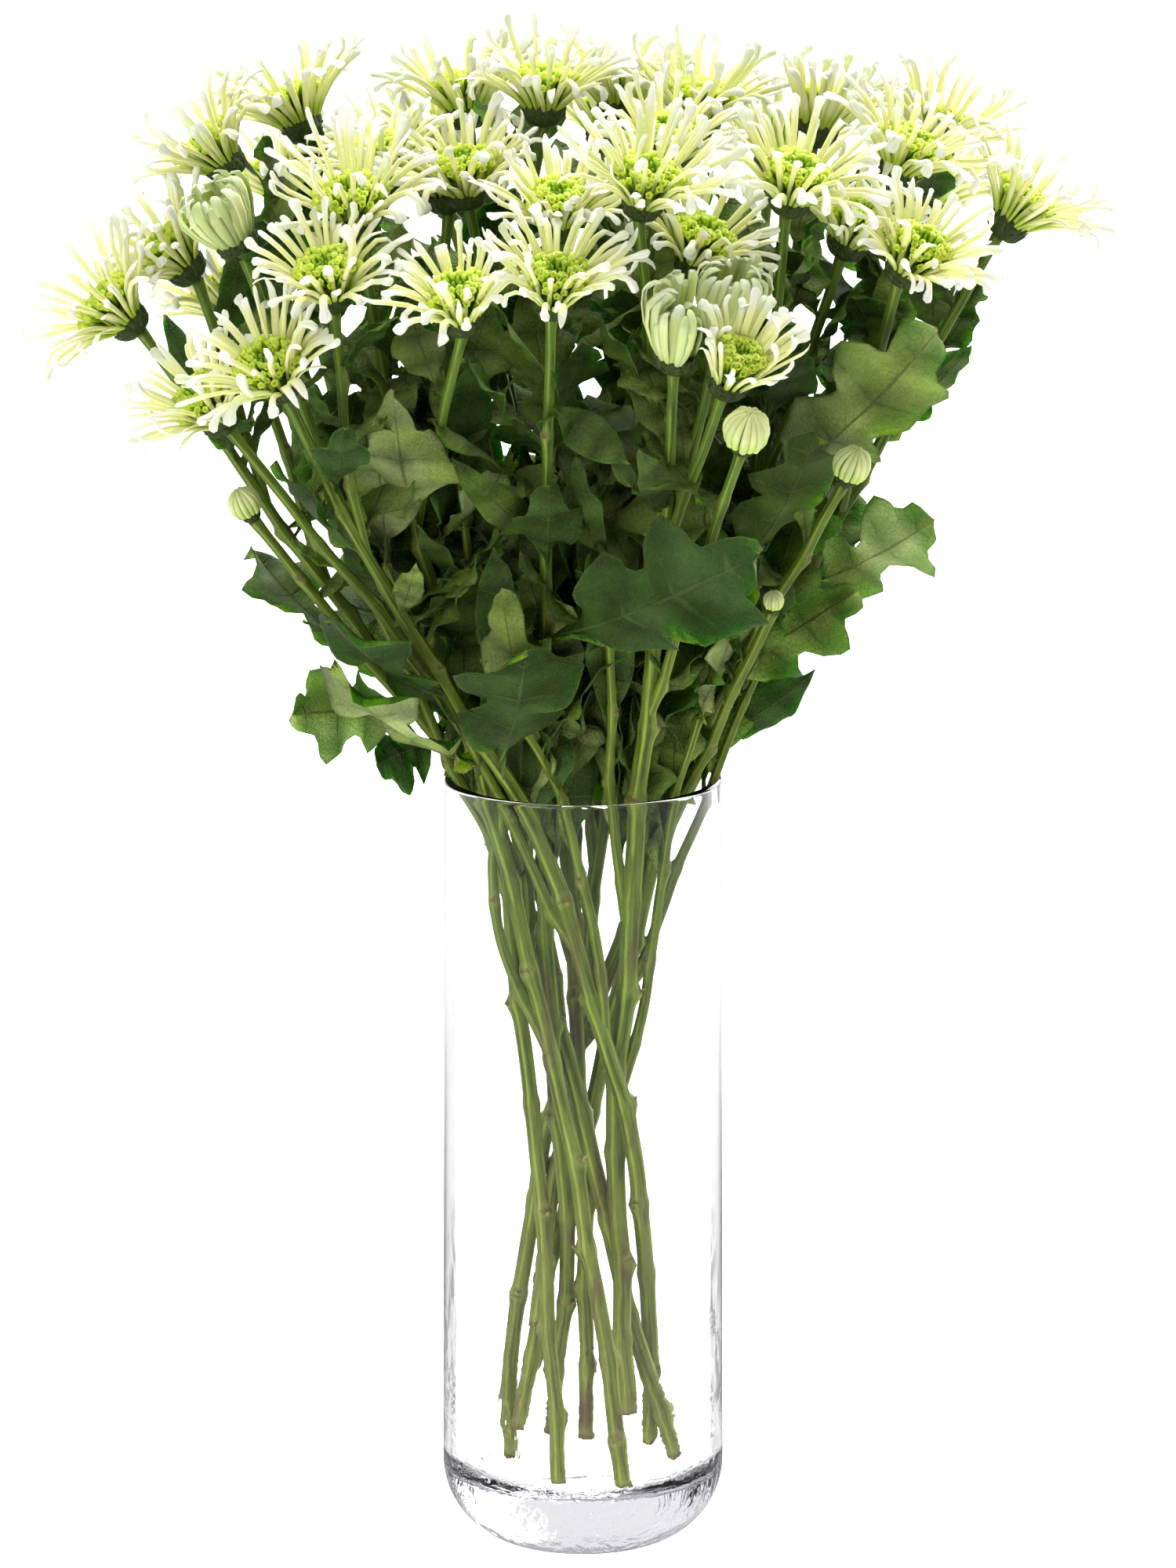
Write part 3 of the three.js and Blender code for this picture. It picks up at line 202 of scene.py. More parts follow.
Spray = namedtuple("Spray", "name radius stands route heads")
SPRAYS = [
    Spray("spray_far_left", radius=2.6, stands=True, route=[
        (-7.6, 16, -24), (-8, 45, -22), (-9.5, 90, -17), (-13.4, 130, -8), (-17, 169, -1),
        (-21, 195, 4), (-29, 214, 6), (-37, 237, 4), (-53, 258, 0), (-73, 288, -8),
        (-93, 319, -12), (-111, 344, -16),
    ], heads=[
        ("bloom", (-155, 396, -20), (-0.55, -0.1), 1.05),
        ("bloom", (-136, 414, 0), (-0.45, -0.1), 1),
        ("bloom", (-118, 402, 38), (-0.2, 0.1), 0.9),
        ("bud", (-111, 335, -32), (-0.1, -0.1), 0.72),
    ]),
    Spray("spray_front_left", radius=2.9, stands=False, route=[
        (21.6, 31, 20), (19.6, 50, 18), (20.6, 73, 13), (16.4, 106, 2), (10.4, 140, -8),
        (4, 172, -15), (-6.4, 213, -24), (-13, 237, -31), (-26, 248, -42), (-43, 265, -52),
        (-58, 285, -62), (-72, 306, -70), (-82, 328, -77), (-92, 346, -81),
    ], heads=[
        ("bloom", (-101.6, 377, -86), (-0.05, -0.25), 1.08),
        ("bloom", (-124, 366, -52), (-0.3, -0.2), 0.95),
        ("ball", (-117, 424, -42), (-0.1, 0), 0.8),
        ("bloom", (-83, 407, -82), (0.1, -0.1), 0.9),
    ]),
    Spray("spray_left_top", radius=3, stands=False, route=[
        (31, 27, 16), (28.6, 40, 14), (24.9, 55, 12), (18.6, 70, 9), (12, 97, 5), (4, 122, 1),
        (-4, 145, 0), (-13, 176, 4), (-21, 205, 9), (-31, 237, 14), (-52, 272, 19),
        (-74, 315, 21), (-90, 360, 18),
    ], heads=[
        ("bloom", (-123, 447, 8), (-0.45, -0.1), 1),
        ("bloom", (-95, 462, 42), (-0.1, 0), 0.95),
        ("bloom", (-66, 446, 4), (0, -0.1), 0.95),
        ("bloom", (-98, 440, 88), (0, 0.1), 0.95),
    ]),
    Spray("spray_centre_left", radius=2.8, stands=True, route=[
        (13, 14, -30), (12, 44, -27), (10.4, 65, -24), (8, 92, -19), (-1, 118, -14),
        (-7, 140, -9), (-12, 165, -8), (-19, 190, -10), (-26, 237, -16), (-36, 260, -25),
        (-46, 290, -37), (-55, 320, -48), (-63, 350, -55),
    ], heads=[
        ("bloom", (-74.6, 431, -58), (0.1, -0.15), 1.1),
        ("bloom", (-40, 400, -97), (0.05, 0), 0.95),
        ("bloom", (-46, 440, 20), (0, -0.1), 0.9),
    ]),
    Spray("spray_back_left", radius=2.6, stands=False, route=[
        (1, 32, 12), (1.6, 77, 10), (2.4, 102, 7), (2.9, 127, 4), (1.6, 145, 5), (0, 178, 10),
        (-2, 215, 18), (-5, 237, 24), (-11, 278, 36), (-19, 340, 46), (-29, 400, 52),
    ], heads=[
        ("bloom", (-39, 467, 52), (0, 0), 1),
        ("bloom", (-39, 441, -22), (0, -0.15), 0.95),
        ("bloom", (-50, 453, 108), (0, 0.1), 0.95),
        ("bloom", (-13, 468, 8), (0, -0.1), 0.95),
    ]),
    Spray("spray_centre_front", radius=2.7, stands=False, route=[
        (-10, 34, 22), (-5.6, 73, 17), (-2, 93, 14), (-4.6, 112, 11), (-8, 135, 8),
        (-10, 155, 4), (-12, 190, -5), (-14, 237, -17), (-13.5, 265, -30), (-12, 290, -45),
        (-12, 315, -61), (-10.5, 345, -75), (-10.5, 362, -86),
    ], heads=[
        ("bloom", (-8, 405, -101), (0.15, -0.05), 1.02),
        ("bloom", (-8, 430, -56), (0, -0.15), 0.9),
    ]),
    Spray("spray_front", radius=3.3, stands=False, route=[
        (14.4, 40, 5), (15.4, 58, 4), (13.9, 71, 3), (12.6, 85, 1), (12, 115, -2),
        (12.4, 140, -5), (13, 164, -9), (15, 197, -16), (18, 220, -22), (18, 237, -27),
        (20, 255, -37), (22, 270, -50), (27, 298, -68), (29.4, 314, -78), (31, 346, -94),
    ], heads=[
        ("ball", (31, 387, -108), (0, -0.1), 1),
        ("bloom", (22, 437, -84), (0.15, 0), 1.12),
        ("cup", (51, 378, -110), (0.2, -0.15), 0.85),
        ("bud", (54, 360, -122), (0, -0.1), 1),
        ("ball", (48, 396, -84), (0.1, 0), 0.9),
    ]),
    Spray("spray_back_centre", radius=2.7, stands=False, route=[
        (-15, 67, 0), (-13.4, 90, 2), (-10.9, 112, 6), (-6, 132, 11), (-2, 148, 14),
        (3, 180, 17), (7, 215, 21), (10, 240, 25), (13, 300, 33), (14, 360, 40), (12, 410, 46),
    ], heads=[
        ("bloom", (12, 469, 52), (0, 0), 1),
        ("bloom", (27, 451, -28), (0, -0.15), 0.9),
        ("bloom", (38, 464, 24), (0, -0.1), 1),
        ("bloom", (8, 459, 112), (0, 0.1), 0.95),
        ("bloom", (40, 418, -56), (0.25, -0.1), 0.95),
    ]),
    Spray("spray_right", radius=2.8, stands=False, route=[
        (-21, 35, 12), (-19, 50, 14), (-16, 68, 15), (-10.5, 85, 15), (-4, 110, 14),
        (3, 145, 12), (8, 168, 10), (13, 190, 8), (19, 212, 4), (25, 237, 0), (34, 255, -10),
        (46, 278, -22), (57, 310, -32), (63, 350, -42),
    ], heads=[
        ("bloom", (69.4, 438, -58), (0, -0.1), 1.08),
        ("bloom", (90, 424, -30), (0.1, -0.1), 0.9),
        ("cup", (78.4, 461, 20), (0, 0), 0.85),
        ("bud", (88.6, 348, -72), (0.05, -0.1), 0.82),
        ("bud", (61, 302, -60), (-0.2, -0.2), 0.45),
        ("bloom", (64, 452, 104), (0, 0.1), 0.95),
    ]),
    Spray("spray_far_right", radius=2.8, stands=True, route=[
        (-26.6, 26, 18.7), (-31, 45, 18), (-28, 65, 17), (-24, 88, 16), (-18.6, 107, 14),
        (-14.9, 130, 12), (-9, 148, 12), (-2, 163, 15), (8, 182, 18), (18, 197, 18),
        (26, 220, 16), (32, 237, 13), (39, 250, 12), (54, 275, 8), (72, 305, 5),
        (89, 340, 0), (109, 372, -5),
    ], heads=[
        ("bloom", (144, 429, 0), (0.25, 0), 1.08),
        ("bloom", (107, 447, -12), (0.1, -0.1), 1.05),
        ("bloom", (109.4, 414, -66), (0.15, -0.2), 0.95),
        ("bloom", (117, 455, 46), (0, 0), 1),
        ("bloom", (113, 437, 84), (0, 0.1), 0.95),
    ]),
]

# Leaves that stand out: spray, height of the joint, tip, width, edge, and how pale the leaf looks.
NOTED_LEAVES = [
    ("spray_centre_front", 272, (56, 313, -112), 48, "lobed", 0.15),
    ("spray_centre_left", 318, (-62, 372, -92), 34, "lobed", 0.8),
    ("spray_centre_front", 312, (-42, 344, -84), 13, "lance", 0.1),
    ("spray_centre_front", 246, (-26, 306, -58), 22, "forked", 0.8),
    ("spray_centre_front", 356, (15, 342, -104), 14, "lance", 0.3),
    ("spray_front", 316, (18, 350, -92), 11, "lance", 0.2),
    ("spray_front_left", 284, (-53, 312, -66), 10, "lance", 0.6),
    ("spray_far_left", 260, (-93, 262, -16), 34, "lobed", 0.7),
    ("spray_far_left", 243, (-66, 246, -16), 26, "lobed", 0.5),
    ("spray_centre_left", 256, (-60, 298, -22), 26, "lobed", 0.05),
    ("spray_right", 268, (88, 300, -20), 30, "lobed", 0.7),
    ("spray_right", 318, (113, 386, -52), 44, "lobed", 0.75),
    ("spray_right", 300, (74, 352, -74), 34, "lobed", 0.2),
    ("spray_far_right", 300, (112, 326, -6), 34, "lobed", 0.7),
    ("spray_far_right", 243, (74, 278, 0), 15, "lance", 0.1),
    ("spray_far_right", 355, (124, 380, -20), 10, "lance", 0.2),
    ("spray_far_left", 340, (-133, 388, 8), 12, "lance", 0.2),
]
# Leaves whose outline differs from their solid's: the outline, and shares of its length and width
NOTED_OUTLINES = {
    ("spray_centre_left", 318): ("trident", 0.84, 1.2),
    ("spray_centre_left", 256): ("forked", 1, 1),
}


def lerp(a, b, share):
    return a + (b - a) * share


def clamp(value, low, high):
    return min(max(value, low), high)


def unit(vector):
    return vector / np.linalg.norm(vector)


def norms(vectors):
    return np.linalg.norm(vectors, axis=1)


def level(turn):
    """The level direction at an angle from +X."""
    return np.array([math.cos(turn), math.sin(turn), 0])


def smoothstep(value, low, high):
    share = np.clip((value - low) / (high - low), 0, 1)
    return share * share * (3 - 2 * share)


def turned(vector, axis, angle):
    """A vector turned about an axis through the origin."""
    return (
        vector * math.cos(angle)
        + np.cross(axis, vector) * math.sin(angle)
        + axis * axis.dot(vector) * (1 - math.cos(angle))
    )


def seeded_numbers(seed):
    """The frame's own repeatable source of numbers from 0 to 1."""
    whole = 0xFFFFFFFF
    state = seed
    while True:
        state = (state + 0x6D2B79F5) & whole
        stirred = ((state ^ (state >> 15)) * (state | 1)) & whole
        stirred ^= (stirred + (((stirred ^ (stirred >> 7)) * (stirred | 61)) & whole)) & whole
        yield (stirred ^ (stirred >> 14)) / (whole + 1)


def seen(place):
    """The true place of a point that is written as seen."""
    across, up, depth = place
    rise = up - VIEW_AIM_SEEN
    cos, sin = math.cos(VIEW_TILT), math.sin(VIEW_TILT)
    reach = VIEW_DISTANCE + depth * cos
    height = (rise * reach - VIEW_DISTANCE * depth * sin) / (VIEW_DISTANCE * cos + rise * sin)
    scale = (reach - height * sin) / VIEW_DISTANCE
    return np.array([across * scale, depth, VIEW_AIM + height])


class Head:
    """A bloom or a bud: where its calyx starts, which way it faces and how far it is open."""

    def __init__(self, name, kind, at, lean, size):
        self.name = name
        self.kind = kind
        self.size = size
        self.girth = size if kind == "bud" else 1
        self.top = seen(at)
        x, y, _ = self.top
        self.face = unit(np.array([x / DOME_DEPTH + lean[0], y / DOME_DEPTH + lean[1], 1]))
        self.base = self.top - self.face * HEAD_HEIGHT * self.girth

    def matrix(self, rise=0.0):
        """The head's own frame, with its +Z the way it faces and its origin this far above the base."""
        turn = Vector(UP).rotation_difference(Vector(self.face)).to_matrix().to_4x4()
        return np.array(Matrix.Translation(Vector(self.base + self.face * rise)) @ turn)


class Shoot:
    """A main stem or a side branch: its middle line, its radii, and the head that ends it."""

    def __init__(self, spray, head, points, radii, parent=None, joint=0):
        self.spray, self.head = spray, head
        self.points, self.radii = points, radii
        self.parent, self.joint = parent, joint


def through(points):
    """A smooth centripetal curve through points, as a function of a share from 0 to 1."""
    points = np.array(points, float)
    last = len(points) - 1
    longer = np.vstack([2 * points[0] - points[1], points, 2 * points[-1] - points[-2]])

    def place(share):
        k = min(int(last * share), last - 1)
        weight = last * share - k
        p0, p1, p2, p3 = longer[k : k + 4]
        d0, d1, d2 = norms(np.diff(longer[k : k + 4], axis=0)) ** 0.5
        t1 = ((p1 - p0) / d0 - (p2 - p0) / (d0 + d1) + (p2 - p1) / d1) * d1
        t2 = ((p2 - p1) / d1 - (p3 - p1) / (d1 + d2) + (p3 - p2) / d2) * d1
        c2 = -3 * p1 + 3 * p2 - 2 * t1 - t2
        c3 = 2 * p1 - 2 * p2 + t1 + t2
        return p1 + t1 * weight + c2 * weight**2 + c3 * weight**3

    return place


def spaced(curve, step, samples=200):
    """Points of a curve at even steps of about the length given."""
    shares = np.linspace(0, 1, samples + 1)
    places = np.array([curve(share) for share in shares])
    lengths = np.concatenate([[0], np.cumsum(norms(np.diff(places, axis=0)))])
    count = max(int(math.floor(lengths[-1] / step + 0.5)), 1)
    wanted = np.interp(np.linspace(0, lengths[-1], count + 1), lengths, shares)
    return np.array([curve(share) for share in wanted])


def main_shoot(spray, head):
    approach = head.base - head.face * STEM_STRAIGHT_TOP
    points = spaced(through([seen(p) for p in spray.route] + [approach, head.base]), STEM_STEP)
    narrowed = smoothstep(np.linspace(0, 1, len(points)), STEM_NARROWS, 1)
    return Shoot(spray.name, head, points, lerp(spray.radius, PEDUNCLE_RADIUS, narrowed))


def branch_point(line, head):
    """The highest point of the main stem from which a side branch climbs steeply enough to its head."""
    for k in range(len(line) - 3, 0, -1):
        away = head.base - line[k]
        if away[2] > max(BRANCH_LEAST_RISE, BRANCH_STEEPNESS * math.hypot(away[0], away[1])):
            return k
    return 1


def side_shoot(main, head):
    joint = branch_point(main.points, head)
    start = main.points[joint]
    along = unit(main.points[joint + 1] - main.points[joint - 1])
    away = head.base - start
    reach = np.linalg.norm(away)
    out = unit(along + away / reach)
    low = start + out * reach * BRANCH_PULL_LOW
    high = head.base - head.face * reach * BRANCH_PULL_HIGH
    t = np.linspace(0, 1, PEDUNCLE_STEPS + 1)[:, None]
    s = 1 - t
    points = s**3 * start + 3 * s * s * t * low + 3 * s * t * t * high + t**3 * head.base
    radii = np.full(len(points), float(PEDUNCLE_RADIUS))
    return Shoot(main.spray, head, points, radii, main, joint)


def closest(a0, a1, b0, b1):
    """Where pairs of straight stretches come closest: the shares along both, and the way between."""
    a, b, between = a1 - a0, b1 - b0, a0 - b0
    aa, bb, ab = (a * a).sum(1), (b * b).sum(1), (a * b).sum(1)
    ac, bc = (a * between).sum(1), (b * between).sum(1)
    apart = aa * bb - ab * ab
    safe = np.where(apart > 1e-6, apart, 1)
    s = np.where(apart > 1e-6, np.clip((ab * bc - bb * ac) / safe, 0, 1), 0.5)
    t = np.clip((ab * s + bc) / bb, 0, 1)
    s = np.clip((ab * t - ac) / aa, 0, 1)
    return s, t, a0 + a * s[:, None] - b0 - b * t[:, None]


def meet_at_fork(one, i, other, j):
    """Stretches that meet at a fork stay together there."""
    sisters = one.parent is not None and one.parent is other.parent
    related = other.parent is one or one.parent is other or sisters
    return related and ((other.parent is not None and j < 2) or (one.parent is not None and i < 2))


def stretch_pairs(shoots, starts):
    """Every pair of straight stretches of two shoots that are kept apart."""
    pairs = []
    for (k, one), (m, other) in combinations(enumerate(shoots), 2):
        for i, j in product(range(len(one.points) - 1), range(len(other.points) - 1)):
            if not meet_at_fork(one, i, other, j):
                pairs.append((starts[k] + i, starts[m] + j))
    return np.array(pairs)


def head_pairs(shoots, starts):
    """Every stretch of a shoot with every head but its own."""
    pairs = []
    for k, m in permutations(range(len(shoots)), 2):
        pairs += [(starts[k] + i, m) for i in range(len(shoots[k].points) - 1)]
    return np.array(pairs)


def vase_reach(height, radius):
    """How far from the axis a stem's middle line may lie at a height inside the vase."""
    rise = np.clip((VASE_FLOOR + VASE_INNER_CORNER - height) / VASE_INNER_CORNER, 0, 1)
    inset = VASE_INNER_CORNER * (1 - np.sqrt(1 - rise * rise))
    return VASE_RIM_RADIUS - VASE_WALL - inset - radius - CLEARANCE - GLASS_GAP


def keep_in_vase(points, radii, ends):
    """Keeps the lines inside the vase's wall, and inside the rim where they pass over it."""
    reach = np.hypot(points[:, 0], points[:, 1])
    most = vase_reach(points[:, 2], radii)
    out = (points[:, 2] <= VASE_HEIGHT) & (reach > most)
    points[out, :2] *= (most[out] / reach[out])[:, None]
    for start, end in ends:
        above = np.nonzero(points[start:end, 2] > VASE_HEIGHT)[0]
        if not len(above) or above[0] < 1:
            continue
        k = start + above[0]
        share = (VASE_HEIGHT - points[k - 1, 2]) / (points[k, 2] - points[k - 1, 2])
        over = lerp(points[k - 1, :2], points[k, :2], share)
        distance = np.linalg.norm(over)
        excess = distance - vase_reach(VASE_HEIGHT, radii[k])
        if excess > 0:
            points[k - 1 : k + 1, :2] -= over * excess / distance


def share_push(pushes, stretch, share, push):
    """Shares a push on each stretch out between its two ends."""
    np.add.at(pushes, stretch, push * (1 - share)[:, None])
    np.add.at(pushes, stretch + 1, push * share[:, None])


def push_apart(pushes, points, radii, one, other):
    """Pushes on pairs of stretches that come too close to each other."""
    s, t, way = closest(points[one], points[one + 1], points[other], points[other + 1])
    far = norms(way)
    short = radii[one] + radii[other] + STEM_GAP - far
    near = np.nonzero(short > 0)[0]
    push = way[near] * (short[near] * 0.5 / far[near])[:, None]
    share_push(pushes, one[near], s[near], push)
    share_push(pushes, other[near], t[near], -push)


def push_off_heads(pushes, points, radii, stretch, heads):
    """Pushes on stretches that come too close to a head."""
    bases = np.array([head.base for head in heads])
    tops = np.array([head.top for head in heads])
    girths = np.array([head.girth for head in heads]) * CALYX_RADIUS
    s, _, way = closest(points[stretch], points[stretch + 1], bases, tops)
    far = norms(way)
    short = girths + radii[stretch] + HEAD_ROOM - far
    near = np.nonzero(short > 0)[0]
    share_push(pushes, stretch[near], s[near], way[near] * (short[near] / far[near])[:, None])


def bend_clear(shoots):
    """Bends stems and stalks that would cross clear of each other, all a little in each round."""
    counts = [len(shoot.points) for shoot in shoots]
    starts = np.concatenate([[0], np.cumsum(counts)])
    ends = list(zip(starts[:-1], starts[1:]))
    points = np.concatenate([shoot.points for shoot in shoots])
    radii = np.concatenate([shoot.radii for shoot in shoots])
    inner = np.ones(len(points), bool)
    inner[starts[:-1]] = False
    inner[starts[1:] - 1] = False
    inner = np.nonzero(inner)[0]
    one, other = stretch_pairs(shoots, starts).T
    stretch, numbers = head_pairs(shoots, starts).T
    heads = [shoots[number].head for number in numbers]
    places = {id(shoot): start for shoot, start in zip(shoots, starts)}
    forks = [(places[id(s)], places[id(s.parent)] + s.joint) for s in shoots if s.parent]
    for turn in range(BEND_ROUNDS):
        pushes = np.zeros_like(points)
        push_apart(pushes, points, radii, one, other)
        push_off_heads(pushes, points, radii, stretch, heads)
        stiffness = BEND_STIFFNESS if turn < BEND_ROUNDS * BEND_SETTLING else 0
        middle = (points[inner - 1] + points[inner + 1]) / 2
        points[inner] = lerp(points[inner], middle, stiffness) + pushes[inner]
        keep_in_vase(points, radii, ends)
        for start, joint in forks:
            points[start] = points[joint]
    for shoot, (start, end) in zip(shoots, ends):
        shoot.points = points[start:end].copy()


def grow_shoots():
    """All stems and side branches as the frame holds them, spray by spray."""
    counts = {"bud": 0, "bloom": 0}
    sprays = []
    for spray in SPRAYS:
        heads = []
        for kind, at, lean, size in spray.heads:
            word = "bud" if kind == "bud" else "bloom"
            counts[word] += 1
            heads.append(Head(f"{word}_{counts[word]:02d}", kind, at, lean, size))
        main = main_shoot(spray, heads[0])
        sprays.append([main] + [side_shoot(main, head) for head in heads[1:]])
    bend_clear(sum(sprays, []))
    for spray, shoots in zip(SPRAYS, sprays):
        if spray.stands:
            points = shoots[0].points
            way = unit(points[1] - points[0])
            points[0][2] = VASE_FLOOR + CLEARANCE + math.hypot(way[0], way[1]) * shoots[0].radii[0]
    return sprays


class Leaf:
    """A leaf's blade, with its places as shares of its length and millimetres sideways."""

    def __init__(self, root, tip, outward, width, edge, pale=0.3, arch=LEAF_ARCH, fold=LEAF_FOLD):
        way = tip - root
        self.arch, self.fold = arch, fold
        self.root = root
        self.length = np.linalg.norm(way)
        self.along = way / self.length
        self.side = unit(np.cross(self.along, outward))
        self.normal = np.cross(self.side, self.along)
        self.half = width / 2
        self.edge, self.pale = edge, pale

    def reshape(self, edge, length, width):
        self.edge = edge
        self.length *= length
        self.half *= width

    def place(self, share, across):
        share = np.atleast_1d(share)[:, None]
        across = np.atleast_1d(across)[:, None]
        rise = self.length * self.arch * share * (1 - share) - np.abs(across) * self.fold
        return self.root + self.along * share * self.length + self.side * across + self.normal * rise


def is_held(leaf, solid):
    """True if the frame's own solid has this leaf: its tip and its two widest points are on it."""
    widest = WIDEST_SHARE[leaf.edge]
    marks = leaf.place([1, widest, widest], [0, leaf.half, -leaf.half])
    return all(solid.find_nearest(Vector(mark * METRES))[3] < ON_SOLID * METRES for mark in marks)


def point_at_height(points, height):
    above = np.nonzero(points[:, 2] > height)[0]
    k = clamp(above[0] if len(above) else -1, 1, len(points) - 1)
    share = clamp((height - points[k - 1, 2]) / (points[k, 2] - points[k - 1, 2]), 0, 1)
    return lerp(points[k - 1], points[k], share)


def noted_poses(up, tip, width, edge, pale, main):
    """The poses that the frame's rule tries, in its order, for a leaf that stands out."""
    target = seen(tip)
    joint = seen((0, up, target[1]))[2]
    for shrink, shift, (lift, roll) in product(NOTED_SHRINKS, NOTED_SHIFTS, NOTED_ROLLS):
        root = point_at_height(main.points, joint + lift)
        way = (target + np.array([0, shift, 0]) - root) * shrink
        outward = unit(np.array([root[0] * 0.4, root[1] - 60, 20]))
        outward = turned(outward, unit(way), roll)
        yield Leaf(root, root + way, outward, width * shrink, edge, pale)


def foliage_poses(root, along, turn, length, edge, pale):
    """The poses that the frame's rule tries, in its order, for any other leaf."""
    for shrink, spread, extra in product(FOLIAGE_SHRINKS, FOLIAGE_SPREADS, FOLIAGE_TURNS):
        out = level(turn + extra)
        way = unit(along * math.cos(spread) + out * math.sin(spread))
        width = length * shrink * LEAF_SLIMNESS[edge]
        yield Leaf(root, root + way * length * shrink, out, width, edge, pale)


def possible_leaves(sprays):
    """Each leaf's spray, its poses, and its look where that differs from its solid's."""
    numbers = seeded_numbers(20)
    tones = random.Random(7)
    mains = {shoots[0].spray: shoots[0] for shoots in sprays}
    for name, up, tip, width, edge, pale in NOTED_LEAVES:
        poses = noted_poses(up, tip, width, edge, pale, mains[name])
        yield name, poses, NOTED_OUTLINES.get((name, up))
    for shoot in [shoot for shoots in sprays for shoot in shoots[1::2]]:
        turn = next(numbers) * math.tau
        length = lerp(*BRACT_LENGTH, next(numbers))
        along = unit(shoot.points[3] - shoot.points[1])
        yield shoot.spray, foliage_poses(shoot.points[2], along, turn, length, "lance", 0.3), None
    for main in mains.values():
        turn = next(numbers) * math.tau
        top = main.head.base[2] - FOLIAGE_UNDER_HEAD
        height = VASE_HEIGHT + lerp(*FOLIAGE_START, next(numbers))
        while height < top:
            share = (height - VASE_HEIGHT) / (top - VASE_HEIGHT)
            length = lerp(*FOLIAGE_LENGTH, share) * lerp(0.9, 1.1, next(numbers))
            edge = "lobed" if share < FOLIAGE_LOBED_SHARE else "forked"
            turn += GOLDEN_TURN
            root = point_at_height(main.points, height)
            pale = tones.uniform(0, 0.55)
            yield main.spray, foliage_poses(root, UP, turn, length, edge, pale), None
            height += lerp(*FOLIAGE_STEP, next(numbers))


def solid_of(name):
    """A node's own solid in the frame, for measuring how far places are from it."""
    mesh = bmesh.new()
    mesh.from_mesh(frame["nodes"][name].data)
    tree = BVHTree.FromBMesh(mesh)
    mesh.free()
    return tree


def grow_leaves(sprays):
    """The leaves of each spray: of each one's possible poses, the one that the frame's solid has."""
    solids = {shoots[0].spray: solid_of(shoots[0].spray) for shoots in sprays}
    leaves = {name: [] for name in solids}
    for name, poses, look in possible_leaves(sprays):
        leaf = next((pose for pose in poses if is_held(pose, solids[name])), None)
        if leaf and look:
            leaf.reshape(*look)
        if leaf:
            leaves[name].append(leaf)
    return leaves


def bouquet_reach(height):
    """How far from the axis a small leaf may reach: inside the vase's neck, or in the cone above it."""
    if height < VASE_HEIGHT + NECK_MARGIN:
        return NECK_REACH
    return lerp(VASE_RADIUS, CONE_REACH, (height - VASE_HEIGHT) / (CONE_TOP - VASE_HEIGHT))


def is_clear(leaf, heads):
    """True if a leaf stays under the blooms and inside the bouquet's outline."""
    marks = leaf.place([0.5, 0.75, 0.75, 1], [0, leaf.half, -leaf.half, 0])
    for x, y, z in marks:
        if math.hypot(x, y * CONE_FLATNESS) > bouquet_reach(z):
            return False
    for head in heads:
        share = np.clip((marks - head.base) @ head.face / HEAD_HEIGHT, -0.4, 1.2)
        near = marks - head.base - head.face * (share * HEAD_HEIGHT)[:, None]
        if np.min(norms(near)) < CALYX_RADIUS + CALYX_ROOM:
            return False
    return True


def twig_points(main, start, luck):
    """The middle line of a thin side branch that climbs beside its main stem."""
    turn = luck.uniform(0, math.tau)
    out = level(turn)
    marks = [point_at_height(main.points, start)]
    for rise, apart in TWIG_COURSE:
        mark = point_at_height(main.points, start + rise) + out * apart
        far = math.hypot(mark[0], mark[1])
        mark[:2] *= min(1, TWIG_REACH * bouquet_reach(mark[2]) / far)
        marks.append(mark)
    return spaced(through(marks), TWIG_STEP)


def grow_twigs(sprays):
    """Thin side branches without blooms: of each one's tries, the one that is least crowded."""
    luck = np.random.default_rng(47)
    lines = [spaced(through(shoot.points), TWIG_ROOM_STEP) for shoot in sum(sprays, [])]
    twigs = {}
    for shoots in sprays:
        main = shoots[0]
        twigs[main.spray] = []
        for low, high in TWIG_STARTS:
            start = luck.uniform(low, high)
            others = np.concatenate(lines)
            tries = [twig_points(main, start, luck) for _ in range(TWIG_TRIES)]
            room = [np.min(np.linalg.norm(points[2:, None] - others, axis=2)) for points in tries]
            points = tries[int(np.argmax(room))]
            lines.append(spaced(through(points), TWIG_ROOM_STEP))
            radii = np.linspace(*TWIG_RADII, len(points))
            twigs[main.spray].append(Shoot(main.spray, None, points, radii, main))
    return twigs


def grow_filling(sprays, twigs):
    """Smaller leaves among the stems, where the frame holds only the leaves that stand clear."""
    luck = np.random.default_rng(31)
    heads = [shoot.head for shoot in sum(sprays, [])]
    filling = {shoots[0].spray: [] for shoots in sprays}
    for shoots in sprays:
        spray = shoots[0].spray
        for shoot in shoots + twigs[spray]:
            height = max(shoot.points[0][2], NECK_LOW) + luck.uniform(6, 18)
            top = shoot.head.base[2] - FILLING_UNDER_HEAD if shoot.head else shoot.points[-1][2]
            turn = luck.uniform(0, math.tau)
            while height < top:
                leaf = filling_leaf(shoot, height, turn, luck)
                if is_clear(leaf, heads):
                    filling[spray].append(leaf)
                turn += GOLDEN_TURN
                height += luck.uniform(*FILLING_STEP)
            if not shoot.head:
                filling[spray].append(filling_leaf(shoot, shoot.points[-1][2] - 1, turn, luck))
    add_high_leaves(sprays, filling, heads)
    return filling


